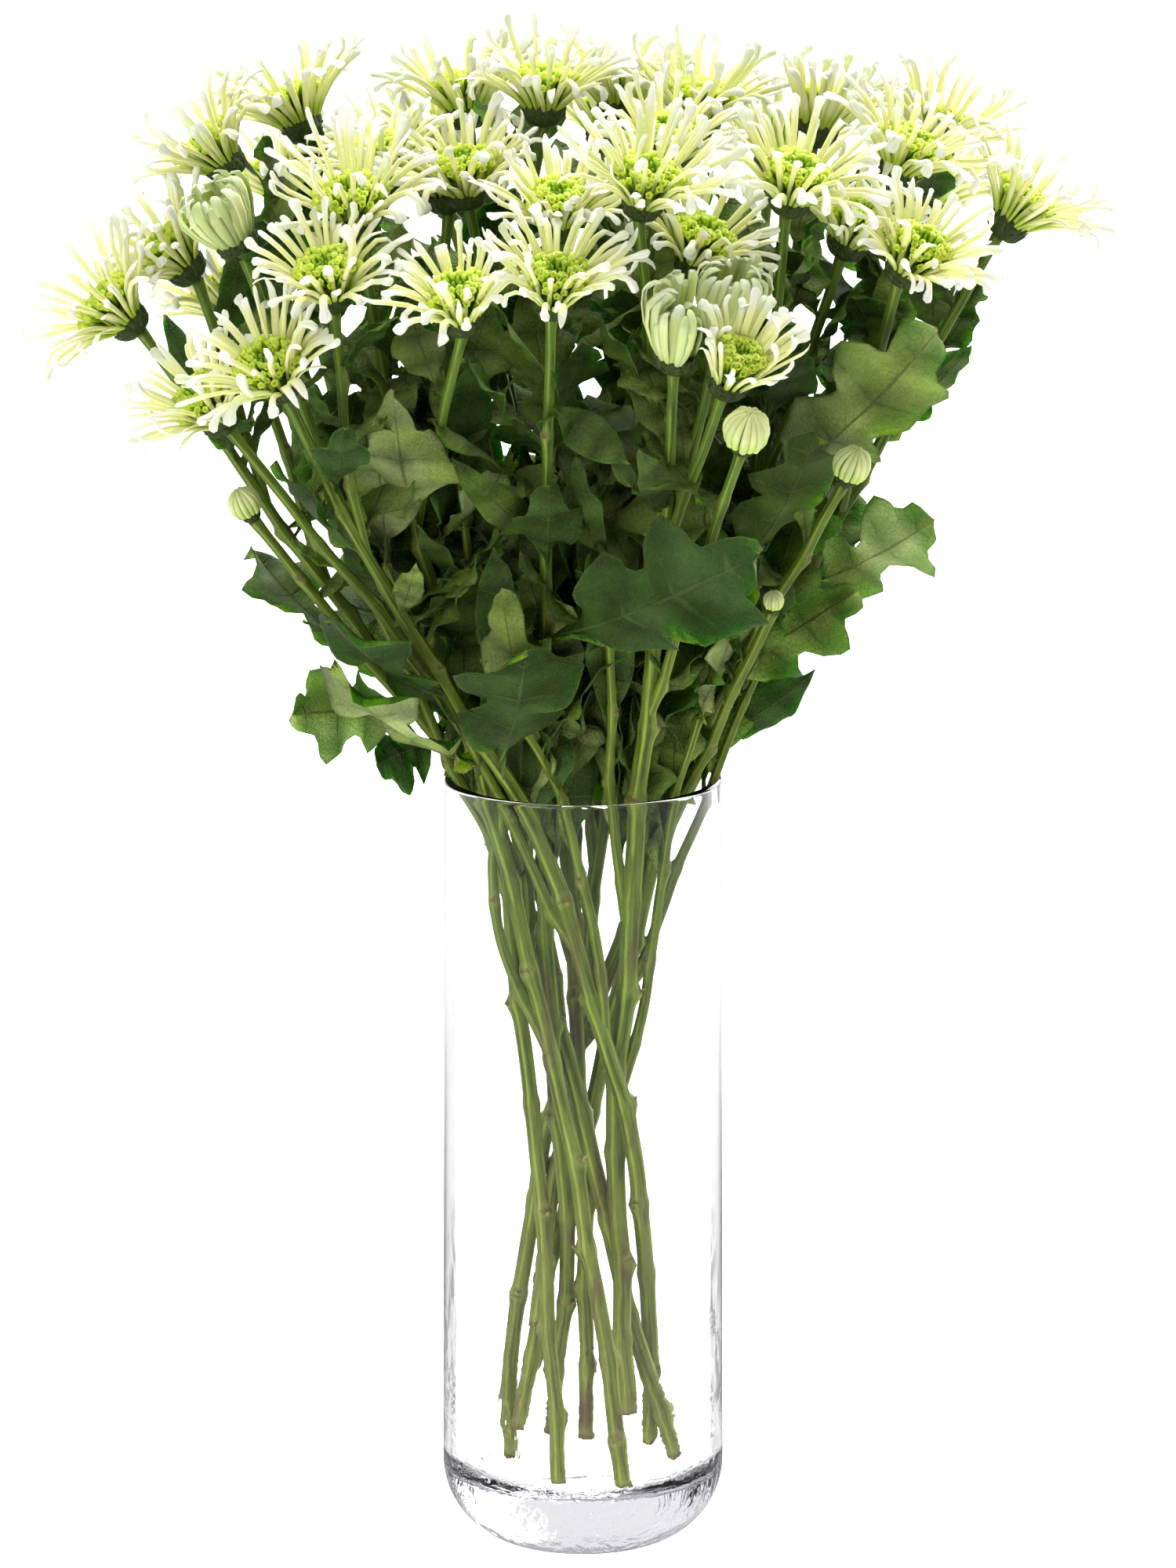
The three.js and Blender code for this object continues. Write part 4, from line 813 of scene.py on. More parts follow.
def add_high_leaves(sprays, filling, heads):
    """One leaf close under each bloom, where it has room: of its tries, the first that is clear."""
    luck = np.random.default_rng(83)
    for shoot in sum(sprays, []):
        for _ in range(HIGH_LEAF_TRIES):
            height = shoot.head.base[2] - luck.uniform(*HIGH_LEAF_DROP)
            leaf = filling_leaf(shoot, height, luck.uniform(0, math.tau), luck)
            if is_clear(leaf, heads):
                filling[shoot.spray].append(leaf)
                break


def filling_leaf(shoot, height, turn, luck):
    """A smaller leaf on a shoot, shorter the higher it stands and steep inside the vase."""
    root = point_at_height(shoot.points, height)
    share = clamp((height - VASE_HEIGHT) / FILLING_SHORTENS, 0, 1)
    length = lerp(*FILLING_LENGTH, share) * luck.uniform(0.8, 1.2)
    edge = luck.choice(list(FILLING_EDGES), p=list(FILLING_EDGES.values()))
    out = level(turn)
    spread = luck.uniform(*(FILLING_SPREAD if height > VASE_HEIGHT else FILLING_SPREAD_IN_VASE))
    way = unit(UP * math.cos(spread) + out * math.sin(spread))
    width = length * LEAF_SLIMNESS[edge] * luck.uniform(0.85, 1.1)
    arch = luck.uniform(*FILLING_ARCH)
    pale = luck.choice(list(FILLING_PALENESS), p=list(FILLING_PALENESS.values()))
    return Leaf(root, root + way * length, out, width, edge, pale, arch, FILLING_FOLD)


# Shapes are put together from templates: small meshes whose vertices hold ring and side numbers.
RAY_SIDES = 7
FLORET_SIDES = 5
STEM_SIDES = 14
STUB_SIDES = 6
CALYX_SIDES = 24
MIDRIB_SIDES = 6
BLADE_ROWS = 26
BLADE_COLUMNS = 8
FILLING_ROWS = 18
FILLING_COLUMNS = 6
SCALE_ROWS = 4
SCALE_COLUMNS = 2

# How wide, thick and hollowed a ray is at its rings, in millimetres, and where its rings stand.
RAY_STATIONS = np.array([0, 0.02, 0.2, 0.42, 0.64, 0.8, 0.9, 0.965, 1])
RAY_SHAPES = {
    "spoon": {
        "wide": np.array([0, 0.68, 0.9, 1.1, 1.22, 1.32, 2.05, 1.85, 0]),
        "thick": np.array([0, 0.6, 0.75, 0.8, 0.8, 0.75, 0.6, 0.45, 0]),
        "hollow": np.array([0, 0, 0, 0, 0.05, 0.3, 1.0, 0.7, 0]),
    },
    "club": {
        "wide": np.array([0, 0.65, 0.85, 1.0, 1.05, 1.15, 1.8, 1.7, 0]),
        "thick": np.array([0, 0.6, 0.75, 0.8, 0.85, 0.95, 1.35, 1.2, 0]),
        "hollow": np.zeros(9),
    },
    "ribbon": {
        "wide": np.array([0, 0.7, 1.05, 1.35, 1.5, 1.4, 1.05, 0.55, 0]),
        "thick": np.array([0, 0.6, 0.5, 0.42, 0.36, 0.34, 0.3, 0.2, 0]),
        "hollow": np.array([0, 0, 0.1, 0.2, 0.3, 0.3, 0.2, 0.1, 0]),
    },
    "quill": {
        "wide": np.array([0, 0.62, 0.75, 0.82, 0.84, 0.88, 1.05, 0.85, 0]),
        "thick": np.array([0, 0.58, 0.68, 0.72, 0.72, 0.72, 0.8, 0.65, 0]),
        "hollow": np.zeros(9),
    },
}
Ray = namedtuple("Ray", "root turn climbs length row")
RAY_STEPS = 24
RAY_CURL_FROM = (0.5, 0.8)
# Curls of the rays' ends, each up to a share of all rays: straight, hooked down and turned up
RAY_CURLS = ((0.45, (-0.35, 0.35)), (0.75, (-2.6, -0.9)), (1, (0.6, 2.2)))
BALL_CURLS = (0.9, 1.9)
BALL_RAY_GIRTH = 1.35
BALL_WILDNESS = 0.25
RAY_SHARES = (("spoon", 0.42), ("club", 0.26), ("ribbon", 0.16), ("quill", 0.16))
RAY_NEIGHBOUR_SHARES = {"outer": (0.26, 0.5, 0.76), "inner": (0.5,)}
RAY_WIDEST_GAP = 2.2
CLIMB_LEAD = 18 / 16
RAY_FOOT_RADIUS = 5.0
RAY_FOOT_DEPTH = 3.4

FLORET_COUNT = 92
# A floret's radius in millimetres and the share of its length at each of its rings.
FLORET_OPEN = {
    "radius": np.array([0, 0.5, 0.75, 1.3, 0.6, 0]),
    "rise": np.array([0, 0.02, 0.72, 1, 0.9, 0.75]),
}
FLORET_SHUT = {
    "radius": np.array([0, 0.5, 0.72, 0.8, 0.45, 0]),
    "rise": np.array([0, 0.02, 0.55, 0.82, 0.97, 1]),
}
FLORET_LENGTHS = ((0, 2.6), (0.25, 3.3), (0.55, 7.0), (1, 8.6))
# How wide a disc is, and how far its outer florets lean out, for each kind of head
DISC_SIZE = {"bloom": 1.04, "cup": 0.85, "ball": 0.75}
DISC_FLARE = {"bloom": 0.9, "cup": 0.55, "ball": 0.2}
DISC_SPREAD = 5.2
DISC_CORE_RADIUS = 6.0
DISC_CORE_RISE = 3.6

BUD_PETALS = 15
BUD_BASE = math.radians(-50)
BUD_TOPS = (78, 108)

CALYX_PROFILE = np.array([
    (0, -0.6), (1.9, -0.2), (3.9, 0.2), (5.5, 1.4), (6.2, 3.2), (6.5, 5.2), (6.0, 5.9), (0, 5.9),
])
# Tiers of scales: the height of their feet, how many there are, and their length
SCALE_TIERS = ((0.3, 9, 4.4), (1.6, 11, 4.8), (3.2, 14, 5.0))
SCALE_WIDTH = 1.8
SCALE_THICKNESS = 0.4
SCALE_STEEPNESS = 0.86
SCALE_OUTLINE = ([0, 0.3, 0.7, 0.9, 1], [0.8, 1, 0.78, 0.4, 0.08])

# Half a leaf's outline from its stalk to its tip: shares of the length and of the widest half.
BLADE_OUTLINES = {
    "lobed": [
        (0, 0.035), (0.08, 0.04), (0.15, 0.06), (0.2, 0.13), (0.24, 0.27), (0.29, 0.46), (0.345, 0.64),
        (0.4, 0.78), (0.45, 0.82), (0.482, 0.74), (0.494, 0.6), (0.502, 0.47), (0.525, 0.38), (0.56, 0.4),
        (0.6, 0.55), (0.645, 0.74), (0.7, 0.92), (0.755, 1), (0.8, 0.96), (0.824, 0.83), (0.826, 0.68),
        (0.83, 0.54), (0.85, 0.44), (0.882, 0.42), (0.915, 0.4), (0.95, 0.32), (0.98, 0.19), (1, 0),
    ],
    "trident": [
        (0, 0.04), (0.1, 0.045), (0.22, 0.07), (0.3, 0.2), (0.36, 0.42), (0.43, 0.68), (0.5, 0.9),
        (0.56, 1), (0.59, 0.93), (0.61, 0.78), (0.63, 0.62), (0.67, 0.5), (0.72, 0.44), (0.78, 0.42),
        (0.84, 0.38), (0.9, 0.28), (0.96, 0.13), (1, 0),
    ],
    "forked": [
        (0, 0.05), (0.1, 0.055), (0.2, 0.075), (0.27, 0.18), (0.33, 0.34), (0.4, 0.54), (0.47, 0.74),
        (0.54, 0.9), (0.6, 1), (0.655, 0.99), (0.69, 0.88), (0.7, 0.74), (0.72, 0.62), (0.76, 0.57),
        (0.81, 0.54), (0.86, 0.46), (0.92, 0.34), (0.97, 0.18), (1, 0),
    ],
    "lance": [
        (0, 0.18), (0.08, 0.2), (0.16, 0.34), (0.28, 0.68), (0.4, 0.92), (0.52, 1), (0.66, 0.9),
        (0.8, 0.62), (0.91, 0.3), (1, 0),
    ],
}
BLADE_THICKNESS = 0.45
EDGE_THINNING = 0.6
EDGE_WAVE = 0.18
LEAF_TOOTH = 1.07
LEAF_BAYS = 5
BAY_DEPTH = 0.06
MIDRIB_RINGS = 10
MIDRIB_GIRTH = (0.026, 0.003)
MIDRIB_LONGEST = 60


def to_mesh(shape, name):
    """A new mesh made from a bmesh, which is freed."""
    mesh = bpy.data.meshes.new(name)
    shape.to_mesh(mesh)
    shape.free()
    return mesh


def set_out(name, data):
    """A new object in the scene."""
    item = bpy.data.objects.new(name, data)
    bpy.context.scene.collection.objects.link(item)
    return item


class Template:
    """A small mesh that is copied into a piece many times, with the numbers of its vertices."""

    def __init__(self, shape, material):
        for face in shape.faces:
            face.material_index = material
            face.smooth = True
        self.mesh = to_mesh(shape, "template")
        x, y, z = np.array([vertex.co[:] for vertex in self.mesh.vertices]).T
        self.corners = (x, y, np.rint(z).astype(int))


@lru_cache(None)
def tube_template(sides, rings, material):
    """Rings one unit apart up +Z, closed at both ends by a pole that takes a ring's number too."""
    shape = bmesh.new()
    bmesh.ops.create_circle(shape, cap_ends=False, segments=sides, radius=1)
    bmesh.ops.spin(
        shape, geom=shape.edges[:], cent=(0, 0, 0), axis=(0, 0, 1), dvec=(0, 0, 1), angle=0,
        steps=rings + 1, use_duplicate=False,
    )
    for ring in (0, rings + 1):
        ends = [vertex for vertex in shape.verts if abs(vertex.co.z - ring) < 0.1]
        bmesh.ops.pointmerge(shape, verts=ends, merge_co=(0, 0, ring))
    bmesh.ops.recalc_face_normals(shape, faces=shape.faces[:])
    return Template(shape, material)


@lru_cache(None)
def sheet_template(rows, columns, upper, lower):
    """A thin closed sheet: rows along +X, columns across, its lower side one unit below its upper."""
    shape = bmesh.new()
    bmesh.ops.create_grid(shape, x_segments=rows, y_segments=columns, size=1)
    bmesh.ops.solidify(shape, geom=shape.faces[:], thickness=1)
    for vertex in shape.verts:
        vertex.co.z = -1 if vertex.co.z < -0.5 or vertex.co.z > 0.5 else 0
    bmesh.ops.recalc_face_normals(shape, faces=shape.faces[:])
    template = Template(shape, upper)
    for face in template.mesh.polygons:
        if face.normal.z < -0.5:
            face.material_index = lower
    return template


def place_tube(template, centres, across, behind, wide, thick):
    """The places of a tube template's vertices, with the centre, directions and sizes of each ring."""
    x, y, ring = template.corners
    return (
        centres[ring]
        + across[ring] * (x * wide[ring])[:, None]
        + behind[ring] * (y * thick[ring])[:, None]
    )


def directions(points):
    """The unit directions of a line at each of its points."""
    ways = np.gradient(points, axis=0)
    return ways / norms(ways)[:, None]


def cross_frames(points):
    """At each point of a line, two directions across it that turn smoothly along the line."""
    ways = directions(points)
    start = np.cross(ways[0], [0.0, 1.0, 0.0])
    if np.linalg.norm(start) < 0.1:
        start = np.cross(ways[0], [1.0, 0.0, 0.0])
    across = [unit(start)]
    for way in ways[1:]:
        across.append(unit(across[-1] - way * across[-1].dot(way)))
    across = np.array(across)
    return across, np.cross(ways, across)


class Growth:
    """A piece put together from copies of templates."""

    def __init__(self):
        self.shape = bmesh.new()
        self.places = []
        self.grains = []

    def add(self, template, places, along=0.0, around=0.0, tone=0.0):
        """Adds a copy: its places in millimetres, and the numbers that its material reads."""
        self.shape.from_mesh(template.mesh)
        self.places.append(places)
        count = len(places)
        numbers = [np.broadcast_to(number, count) for number in (along, around, tone)]
        self.grains.append(np.stack(numbers, axis=1))

    def finish(self, name, materials, node):
        """Makes the piece, in its node's place."""
        mesh = to_mesh(self.shape, name)
        places = np.concatenate(self.places) * METRES
        mesh.vertices.foreach_set("co", places.astype(np.float32).ravel())
        grain = mesh.attributes.new("grain", "FLOAT_VECTOR", "POINT")
        grain.data.foreach_set("vector", np.concatenate(self.grains).astype(np.float32).ravel())
        for material in materials:
            mesh.materials.append(material)
        mesh.update()
        set_piece(name, mesh, node)


def set_piece(name, mesh, node):
    piece = set_out(name, mesh)
    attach(piece, "root")
    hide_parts(node)


# Stems

STEM_RING_STEP = 2.2
STEM_GIRTH = 0.94
STEM_RIBS = 5
RIB_DEPTH = 0.06
NECK_SWELL = 0.25
NECK_LENGTH = 7
KNUCKLE_STEP = (24, 38)
KNUCKLE_REACH = (3.6, 1.7)
KNUCKLE_SWELL = 0.2
LEDGE_DEPTH = 0.42
ZIGZAG_LEAN = 0.7
ZIGZAG_REACH = 11
COLLAR_REACH = 2.2
CUT_REACH = 3.5
STUB_CHANCE = 0.75
STUB_LENGTH = (1.6, 3.4)


def knuckle_places(length, luck):
    """How far up a shoot its knuckles are, and which way each one faces."""
    places = []
    at = luck.uniform(14, 26)
    turn = luck.uniform(0, math.tau)
    while at < length - 22:
        places.append((at, turn))
        at += luck.uniform(*KNUCKLE_STEP)
        turn += GOLDEN_TURN + luck.uniform(-0.3, 0.3)
    return places


def bell(distance, reach):
    """1 where the distance is 0, and less the farther away."""
    return np.exp(-((distance / reach) ** 2))


def knuckle_relief(far, ring, angle, knuckles):
    """How much the ribs and knuckles widen a stem at each vertex, and how brown their scars are."""
    girth = 1 + RIB_DEPTH * np.cos(STEM_RIBS * angle)
    swell = np.zeros(len(far))
    scar = np.zeros(len(ring))
    for at, turn in knuckles:
        near = bell(far - at, np.where(far < at, *KNUCKLE_REACH))
        facing = np.maximum(np.cos(angle - turn), 0) ** 2
        swell += KNUCKLE_SWELL * near
        girth += LEDGE_DEPTH * near[ring] * facing
        scar = np.maximum(scar, bell(far - at - 1, COLLAR_REACH)[ring] * lerp(0.25, 1, facing))
    return girth * (1 + swell[ring]), scar


def grow_stem(growth, shoot, luck):
    """A shoot's ribbed stem with its knuckles, leaf scars and stubs."""
    line = spaced(through(shoot.points), STEM_RING_STEP, samples=max(200, 16 * len(shoot.points)))
    count = len(line)
    length = STEM_RING_STEP * (count - 1)
    far = np.linspace(0, length, count)
    shares = np.linspace(0, 1, len(shoot.radii))
    radius = np.interp(far / length, shares, shoot.radii) * STEM_GIRTH
    radius *= 1 + NECK_SWELL * np.clip((far - length + NECK_LENGTH) / NECK_LENGTH, 0, 1)
    knuckles = knuckle_places(length, luck)
    across, behind = cross_frames(line)
    template = tube_template(STEM_SIDES, count, 0)
    x, y, ring = template.corners
    ring = np.clip(ring - 1, 0, count - 1)
    angle = np.arctan2(y, x)
    girth, scar = knuckle_relief(far, ring, angle, knuckles)
    if shoot.parent is None:
        scar = np.maximum(scar, np.exp(-far / CUT_REACH)[ring])
    lean = zigzag(far, knuckles, across, behind)
    out = across[ring] * x[:, None] + behind[ring] * y[:, None]
    places = line[ring] + lean[ring] + out * (girth * radius[ring])[:, None]
    growth.add(template, places, along=far[ring], around=angle, tone=scar)
    if shoot.parent is None:
        grow_stubs(growth, line, lean, knuckles, radius, luck)


def zigzag(far, knuckles, across, behind):
    """How far a stem leans towards each of its knuckles, along its line."""
    lean = np.zeros_like(across)
    for at, turn in knuckles:
        wide = bell(far - at, ZIGZAG_REACH) * np.clip(far / 20, 0, 1)
        lean += (across * math.cos(turn) + behind * math.sin(turn)) * (wide * ZIGZAG_LEAN)[:, None]
    return lean


def grow_stubs(growth, line, lean, knuckles, radius, luck):
    """Stubs at most of the knuckles that stand inside the vase."""
    ways = directions(line)
    across, behind = cross_frames(line)
    for at, turn in knuckles:
        k = int(at / STEM_RING_STEP)
        out = across[k] * math.cos(turn) + behind[k] * math.sin(turn)
        if line[k][2] < VASE_HEIGHT - 20 and luck.random() < STUB_CHANCE:
            root = line[k] + lean[k] + out * radius[k] * 1.05
            grow_stub(growth, root, out, ways[k], luck)


def grow_stub(growth, root, out, up, luck):
    """The dry foot of a leaf that was stripped off."""
    length = luck.uniform(*STUB_LENGTH)
    way = unit(out * 0.8 + up * luck.uniform(0.5, 1.1))
    shares = np.array([0, 0, 0.45, 0.85, 1])
    wide = np.array([0, 1.15, 0.95, 0.7, 0])
    thick = np.array([0, 0.8, 0.5, 0.35, 0])
    bend = up * length * 0.25
    centres = root + way * (shares * length)[:, None] + bend * (shares**2)[:, None]
    side = unit(np.cross(way, up + 0.01))
    across = np.broadcast_to(side, centres.shape)
    behind = np.broadcast_to(np.cross(way, side), centres.shape)
    template = tube_template(STUB_SIDES, len(shares) - 2, 0)
    places = place_tube(template, centres, across, behind, wide, thick)
    growth.add(template, places, along=0.0, around=0.0, tone=luck.uniform(0.55, 1))


# Leaves

@lru_cache(None)
def blade_rows(edge, seed, rows):
    """A blade's half outline and the places on its midrib that face it, as shares, row by row."""
    luck = np.random.default_rng(seed)
    corners = np.array(BLADE_OUTLINES[edge])
    jitter = luck.uniform(-1, 1, corners.shape) * [0.008, 0.035] * (corners[:, 1:] > 0.15)
    corners = corners + jitter
    outline = spaced(through(corners * [1, 0.5]), 1 / rows, samples=400)
    shares = np.linspace(0, 1, len(outline))
    wanted = np.linspace(0, 1, rows + 1)
    outline = np.stack([np.interp(wanted, shares, outline[:, k]) for k in (0, 1)], axis=1) * [1, 2]
    midrib = lerp(wanted, outline[:, 0], 0.45)
    midrib = np.maximum.accumulate(midrib)
    midrib[0], midrib[-1] = 0, 1
    outline[-1] = (1, 0)
    if edge != "lance":
        outline[3:-2:3, 1] *= LEAF_TOOTH
    return outline, midrib


def grow_leaf(growth, leaf, number, luck, rows, columns):
    """A leaf's blade with its stalk: its edges wave, and it puffs up between its side veins."""
    left, left_rib = blade_rows(leaf.edge, 2 * number, rows)
    right, right_rib = blade_rows(leaf.edge, 2 * number + 1, rows)
    is_pale = leaf.pale > 0.5
    template = sheet_template(rows, columns, 1 if is_pale else 0, 0 if is_pale else 1)
    x, y, z = template.corners
    row = np.rint((x + 1) / 2 * rows).astype(int)
    share = np.abs(y)
    on_right = y > 0
    edge_along = np.where(on_right, right[row, 0], left[row, 0])
    edge_across = np.where(on_right, right[row, 1], left[row, 1]) * np.sign(y) * leaf.half
    rib = (left_rib[row] + right_rib[row]) / 2
    along = lerp(rib, edge_along, share)
    across = edge_across * share
    places = leaf.place(along, across)
    waves = luck.uniform(1.4, 2.6, 2)
    phase = luck.uniform(0, math.tau, 2)
    swing = np.sin(math.tau * waves[0] * along + phase[0]) * np.where(on_right, 1, -1)
    swing += 0.6 * np.sin(2 * math.tau * waves[1] * along + phase[1])
    lift = EDGE_WAVE * leaf.half * swing * share**2
    bays = np.abs(np.sin(math.pi * LEAF_BAYS * row / rows)) * share * (1 - share) * 4
    thickness = bpy.context.scene.bouquet_sizes.leaf_thickness / METRES
    thick = thickness * (z * (1 - EDGE_THINNING * share) + 0.5)
    places = places + leaf.normal * (lift - BAY_DEPTH * leaf.half * bays + thick)[:, None]
    tone = lerp(0.65, 1, luck.random()) if is_pale else luck.random() * 0.55
    growth.add(template, places, along=row / rows, around=y, tone=tone)
    grow_midrib(growth, leaf, is_pale, tone)


def grow_midrib(growth, leaf, is_pale, tone):
    """The round rib along the middle of a blade, on its lower side."""
    shares = np.concatenate([[0], np.linspace(0, 0.97, MIDRIB_RINGS), [0.98]])
    centres = leaf.place(shares, np.zeros(len(shares)))
    ways = directions(centres + leaf.along * np.arange(len(shares))[:, None] * 1e-4)
    side = np.broadcast_to(leaf.side, ways.shape)
    radius = lerp(*MIDRIB_GIRTH, shares**0.5) * min(leaf.length, MIDRIB_LONGEST) / 2
    radius[0] = radius[-1] = 0
    template = tube_template(MIDRIB_SIDES, MIDRIB_RINGS, 1 if is_pale else 0)
    places = place_tube(template, centres, side, np.cross(ways, side), radius, radius)
    growth.add(template, places, along=0.0, around=0.0, tone=tone)


# Calyxes

def to_world(matrix, places):
    return places @ matrix[:3, :3].T + matrix[:3, 3]


def grow_calyx(growth, head, girth, luck):
    """The green cup under a head: tiers of overlapping scales round a solid cup."""
    matrix = head.matrix()
    rings = len(CALYX_PROFILE) - 2
    template = tube_template(CALYX_SIDES, rings, 0)
    x, y, ring = template.corners
    radius, rise = CALYX_PROFILE[ring].T
    places = np.stack([x * radius, y * radius, rise], axis=1) * girth
    growth.add(template, to_world(matrix, places), along=0.15, around=0.0, tone=0.2)
    for foot, count, length in SCALE_TIERS:
        start = luck.uniform(0, 1)
        for k in range(count):
            turn = (k + start) / count * math.tau + luck.uniform(-0.08, 0.08)
            reach = length * luck.uniform(0.88, 1.12)
            grow_scale(growth, matrix, girth, foot, turn, reach, luck.random())


def grow_scale(growth, matrix, girth, foot, turn, length, tone):
    """One scale that lies against its cup and stands off it towards its tip."""
    template = sheet_template(SCALE_ROWS, SCALE_COLUMNS, 0, 0)
    x, y, z = template.corners
    share = (x + 1) / 2
    half = SCALE_WIDTH * np.interp(share, *SCALE_OUTLINE)
    rise = foot + share * length * SCALE_STEEPNESS
    radius = np.interp(rise, CALYX_PROFILE[1:6, 1], CALYX_PROFILE[1:6, 0])
    radius = radius + 0.2 + 0.5 * share**2 + z * SCALE_THICKNESS - 0.3 * y**2
    angle = turn + y * half / np.maximum(radius, 2.5)
    places = np.stack([np.cos(angle) * radius, np.sin(angle) * radius, rise], axis=1) * girth
    growth.add(template, to_world(matrix, places), along=share, around=y, tone=tone)


# Blooms

def facet_corners(ring, above, inverse):
    """The vertices next below a ring of a quill, their middle, and whether they lie on the crown."""
    below = {edge.other_vert(vertex) for vertex in ring for edge in vertex.link_edges} - ring - above
    middle = to_world(inverse, np.mean([vertex.co[:] for vertex in below], axis=0) / METRES)
    is_crown = middle[2] < CROWN_HEIGHT and math.hypot(middle[0], middle[1]) < CROWN_RADIUS
    return below, middle, is_crown


def read_rays(head):
    """A bloom's rays as its own solid has them: root, turn, climbs at root and tip, and length."""
    solid = bmesh.new()
    solid.from_mesh(frame["nodes"][head.name].data)
    bmesh.ops.remove_doubles(solid, verts=solid.verts[:], dist=1e-5)
    inverse = np.linalg.inv(head.matrix(CALYX_HEIGHT + CLEARANCE))
    rays = []
    for tip in solid.verts:
        if len(tip.link_faces) != 3:
            continue
        ring = {edge.other_vert(tip) for edge in tip.link_edges}
        widest = to_world(inverse, np.mean([vertex.co[:] for vertex in ring], axis=0) / METRES)
        below, root, is_crown = facet_corners(ring, {tip}, inverse)
        if not is_crown:
            below, root, is_crown = facet_corners(below, ring, inverse)
        if is_crown:
            rays.append(ray_rule(head, root, widest, to_world(inverse, np.array(tip.co[:]) / METRES)))
    solid.free()
    return rays


def ray_rule(head, root, widest, tip):
    """The arc that a ray follows, from its root, its widest place and its tip."""
    turn = math.atan2(root[1], root[0])
    if head.kind != "ball":
        way = tip - root
        turn = math.atan2(way[1], way[0]) if math.hypot(way[0], way[1]) > 6 else turn
    out = level(turn)
    chord, end = tip - root, tip - widest
    middle = math.atan2(chord[2], chord.dot(out))
    last = math.atan2(end[2], end.dot(out))
    low = middle + (middle - last) * CLIMB_LEAD
    high = 2 * middle - low
    half = abs(high - low) / 2
    length = np.linalg.norm(chord) * (half / math.sin(half) if half > 0.01 else 1)
    row = "outer" if root[2] < CROWN_HEIGHT / 2 else "inner"
    return Ray(root, turn, (low, high), length, row)


def rays_between(rays, luck):
    """More rays between each two neighbours of the same row."""
    extra = []
    rays = sorted(rays, key=lambda ray: ray.turn % math.tau)
    for row, shares in RAY_NEIGHBOUR_SHARES.items():
        own = [ray for ray in rays if ray.row == row]
        for one, other in zip(own, own[1:] + own[:1]):
            gap = (other.turn - one.turn) % math.tau
            if len(own) < 2 or gap > RAY_WIDEST_GAP:
                continue
            for share in shares:
                extra.append(ray_between(one, other, gap, share + luck.uniform(-0.08, 0.08), luck))
    return extra


def ray_between(one, other, gap, share, luck):
    """A ray at a share of the way from one to the other, a little off in everything."""
    reach = math.hypot(one.root[0], one.root[1]) - luck.uniform(0, 0.8)
    turn = one.turn + gap * share
    first, last = [math.atan2(*ray.root[1::-1]) for ray in (one, other)]
    root_turn = first + (last - first) % math.tau * share
    root = level(root_turn) * reach + UP * (one.root[2] + luck.uniform(-0.6, 1.0))
    ends = zip(one.climbs, other.climbs)
    climbs = tuple(lerp(low, high, share) + luck.uniform(-0.24, 0.28) for low, high in ends)
    length = lerp(one.length, other.length, share) * luck.uniform(0.84, 1.12)
    return Ray(root, turn, climbs, length, one.row)


def ray_line(ray, curl, curl_from, sway):
    """The middle line of a ray in its bloom's frame, and its direction sideways at each point."""
    shares = (np.arange(RAY_STEPS) + 0.5) / RAY_STEPS
    late = np.clip((shares - curl_from) / (1 - curl_from), 0, 1)
    climb = lerp(*ray.climbs, shares) + curl * late
    turn = ray.turn + sway * shares
    flat = np.cos(climb)
    steps = np.stack([flat * np.cos(turn), flat * np.sin(turn), np.sin(climb)], axis=1)
    line = np.vstack([[0, 0, 0], np.cumsum(steps, axis=0)]) * ray.length / RAY_STEPS + ray.root
    foot = unit(ray.root * [1, 1, 0]) * RAY_FOOT_RADIUS - UP * RAY_FOOT_DEPTH
    at = np.linspace(0, 1, RAY_STEPS + 1)
    line += (foot - ray.root) * ((1 - at) ** 2)[:, None]
    steps = np.diff(line, axis=0)
    centres = np.stack([np.interp(RAY_STATIONS, at, values) for values in line.T], axis=1)
    ways = np.stack([np.interp(RAY_STATIONS, shares, values) for values in steps.T], axis=1)
    ways /= norms(ways)[:, None]
    turns = ray.turn + sway * RAY_STATIONS
    side = np.stack([-np.sin(turns), np.cos(turns), np.zeros(len(turns))], axis=1)
    side -= ways * (side * ways).sum(1)[:, None]
    side /= norms(side)[:, None]
    return centres, side, np.cross(ways, side)


def choose_curl(kind, luck):
    """How far the end of a ray curls up, or down if it is negative."""
    if kind == "ball":
        return luck.uniform(*BALL_CURLS)
    chance = luck.random()
    return luck.uniform(*next(curls for most, curls in RAY_CURLS if chance < most))


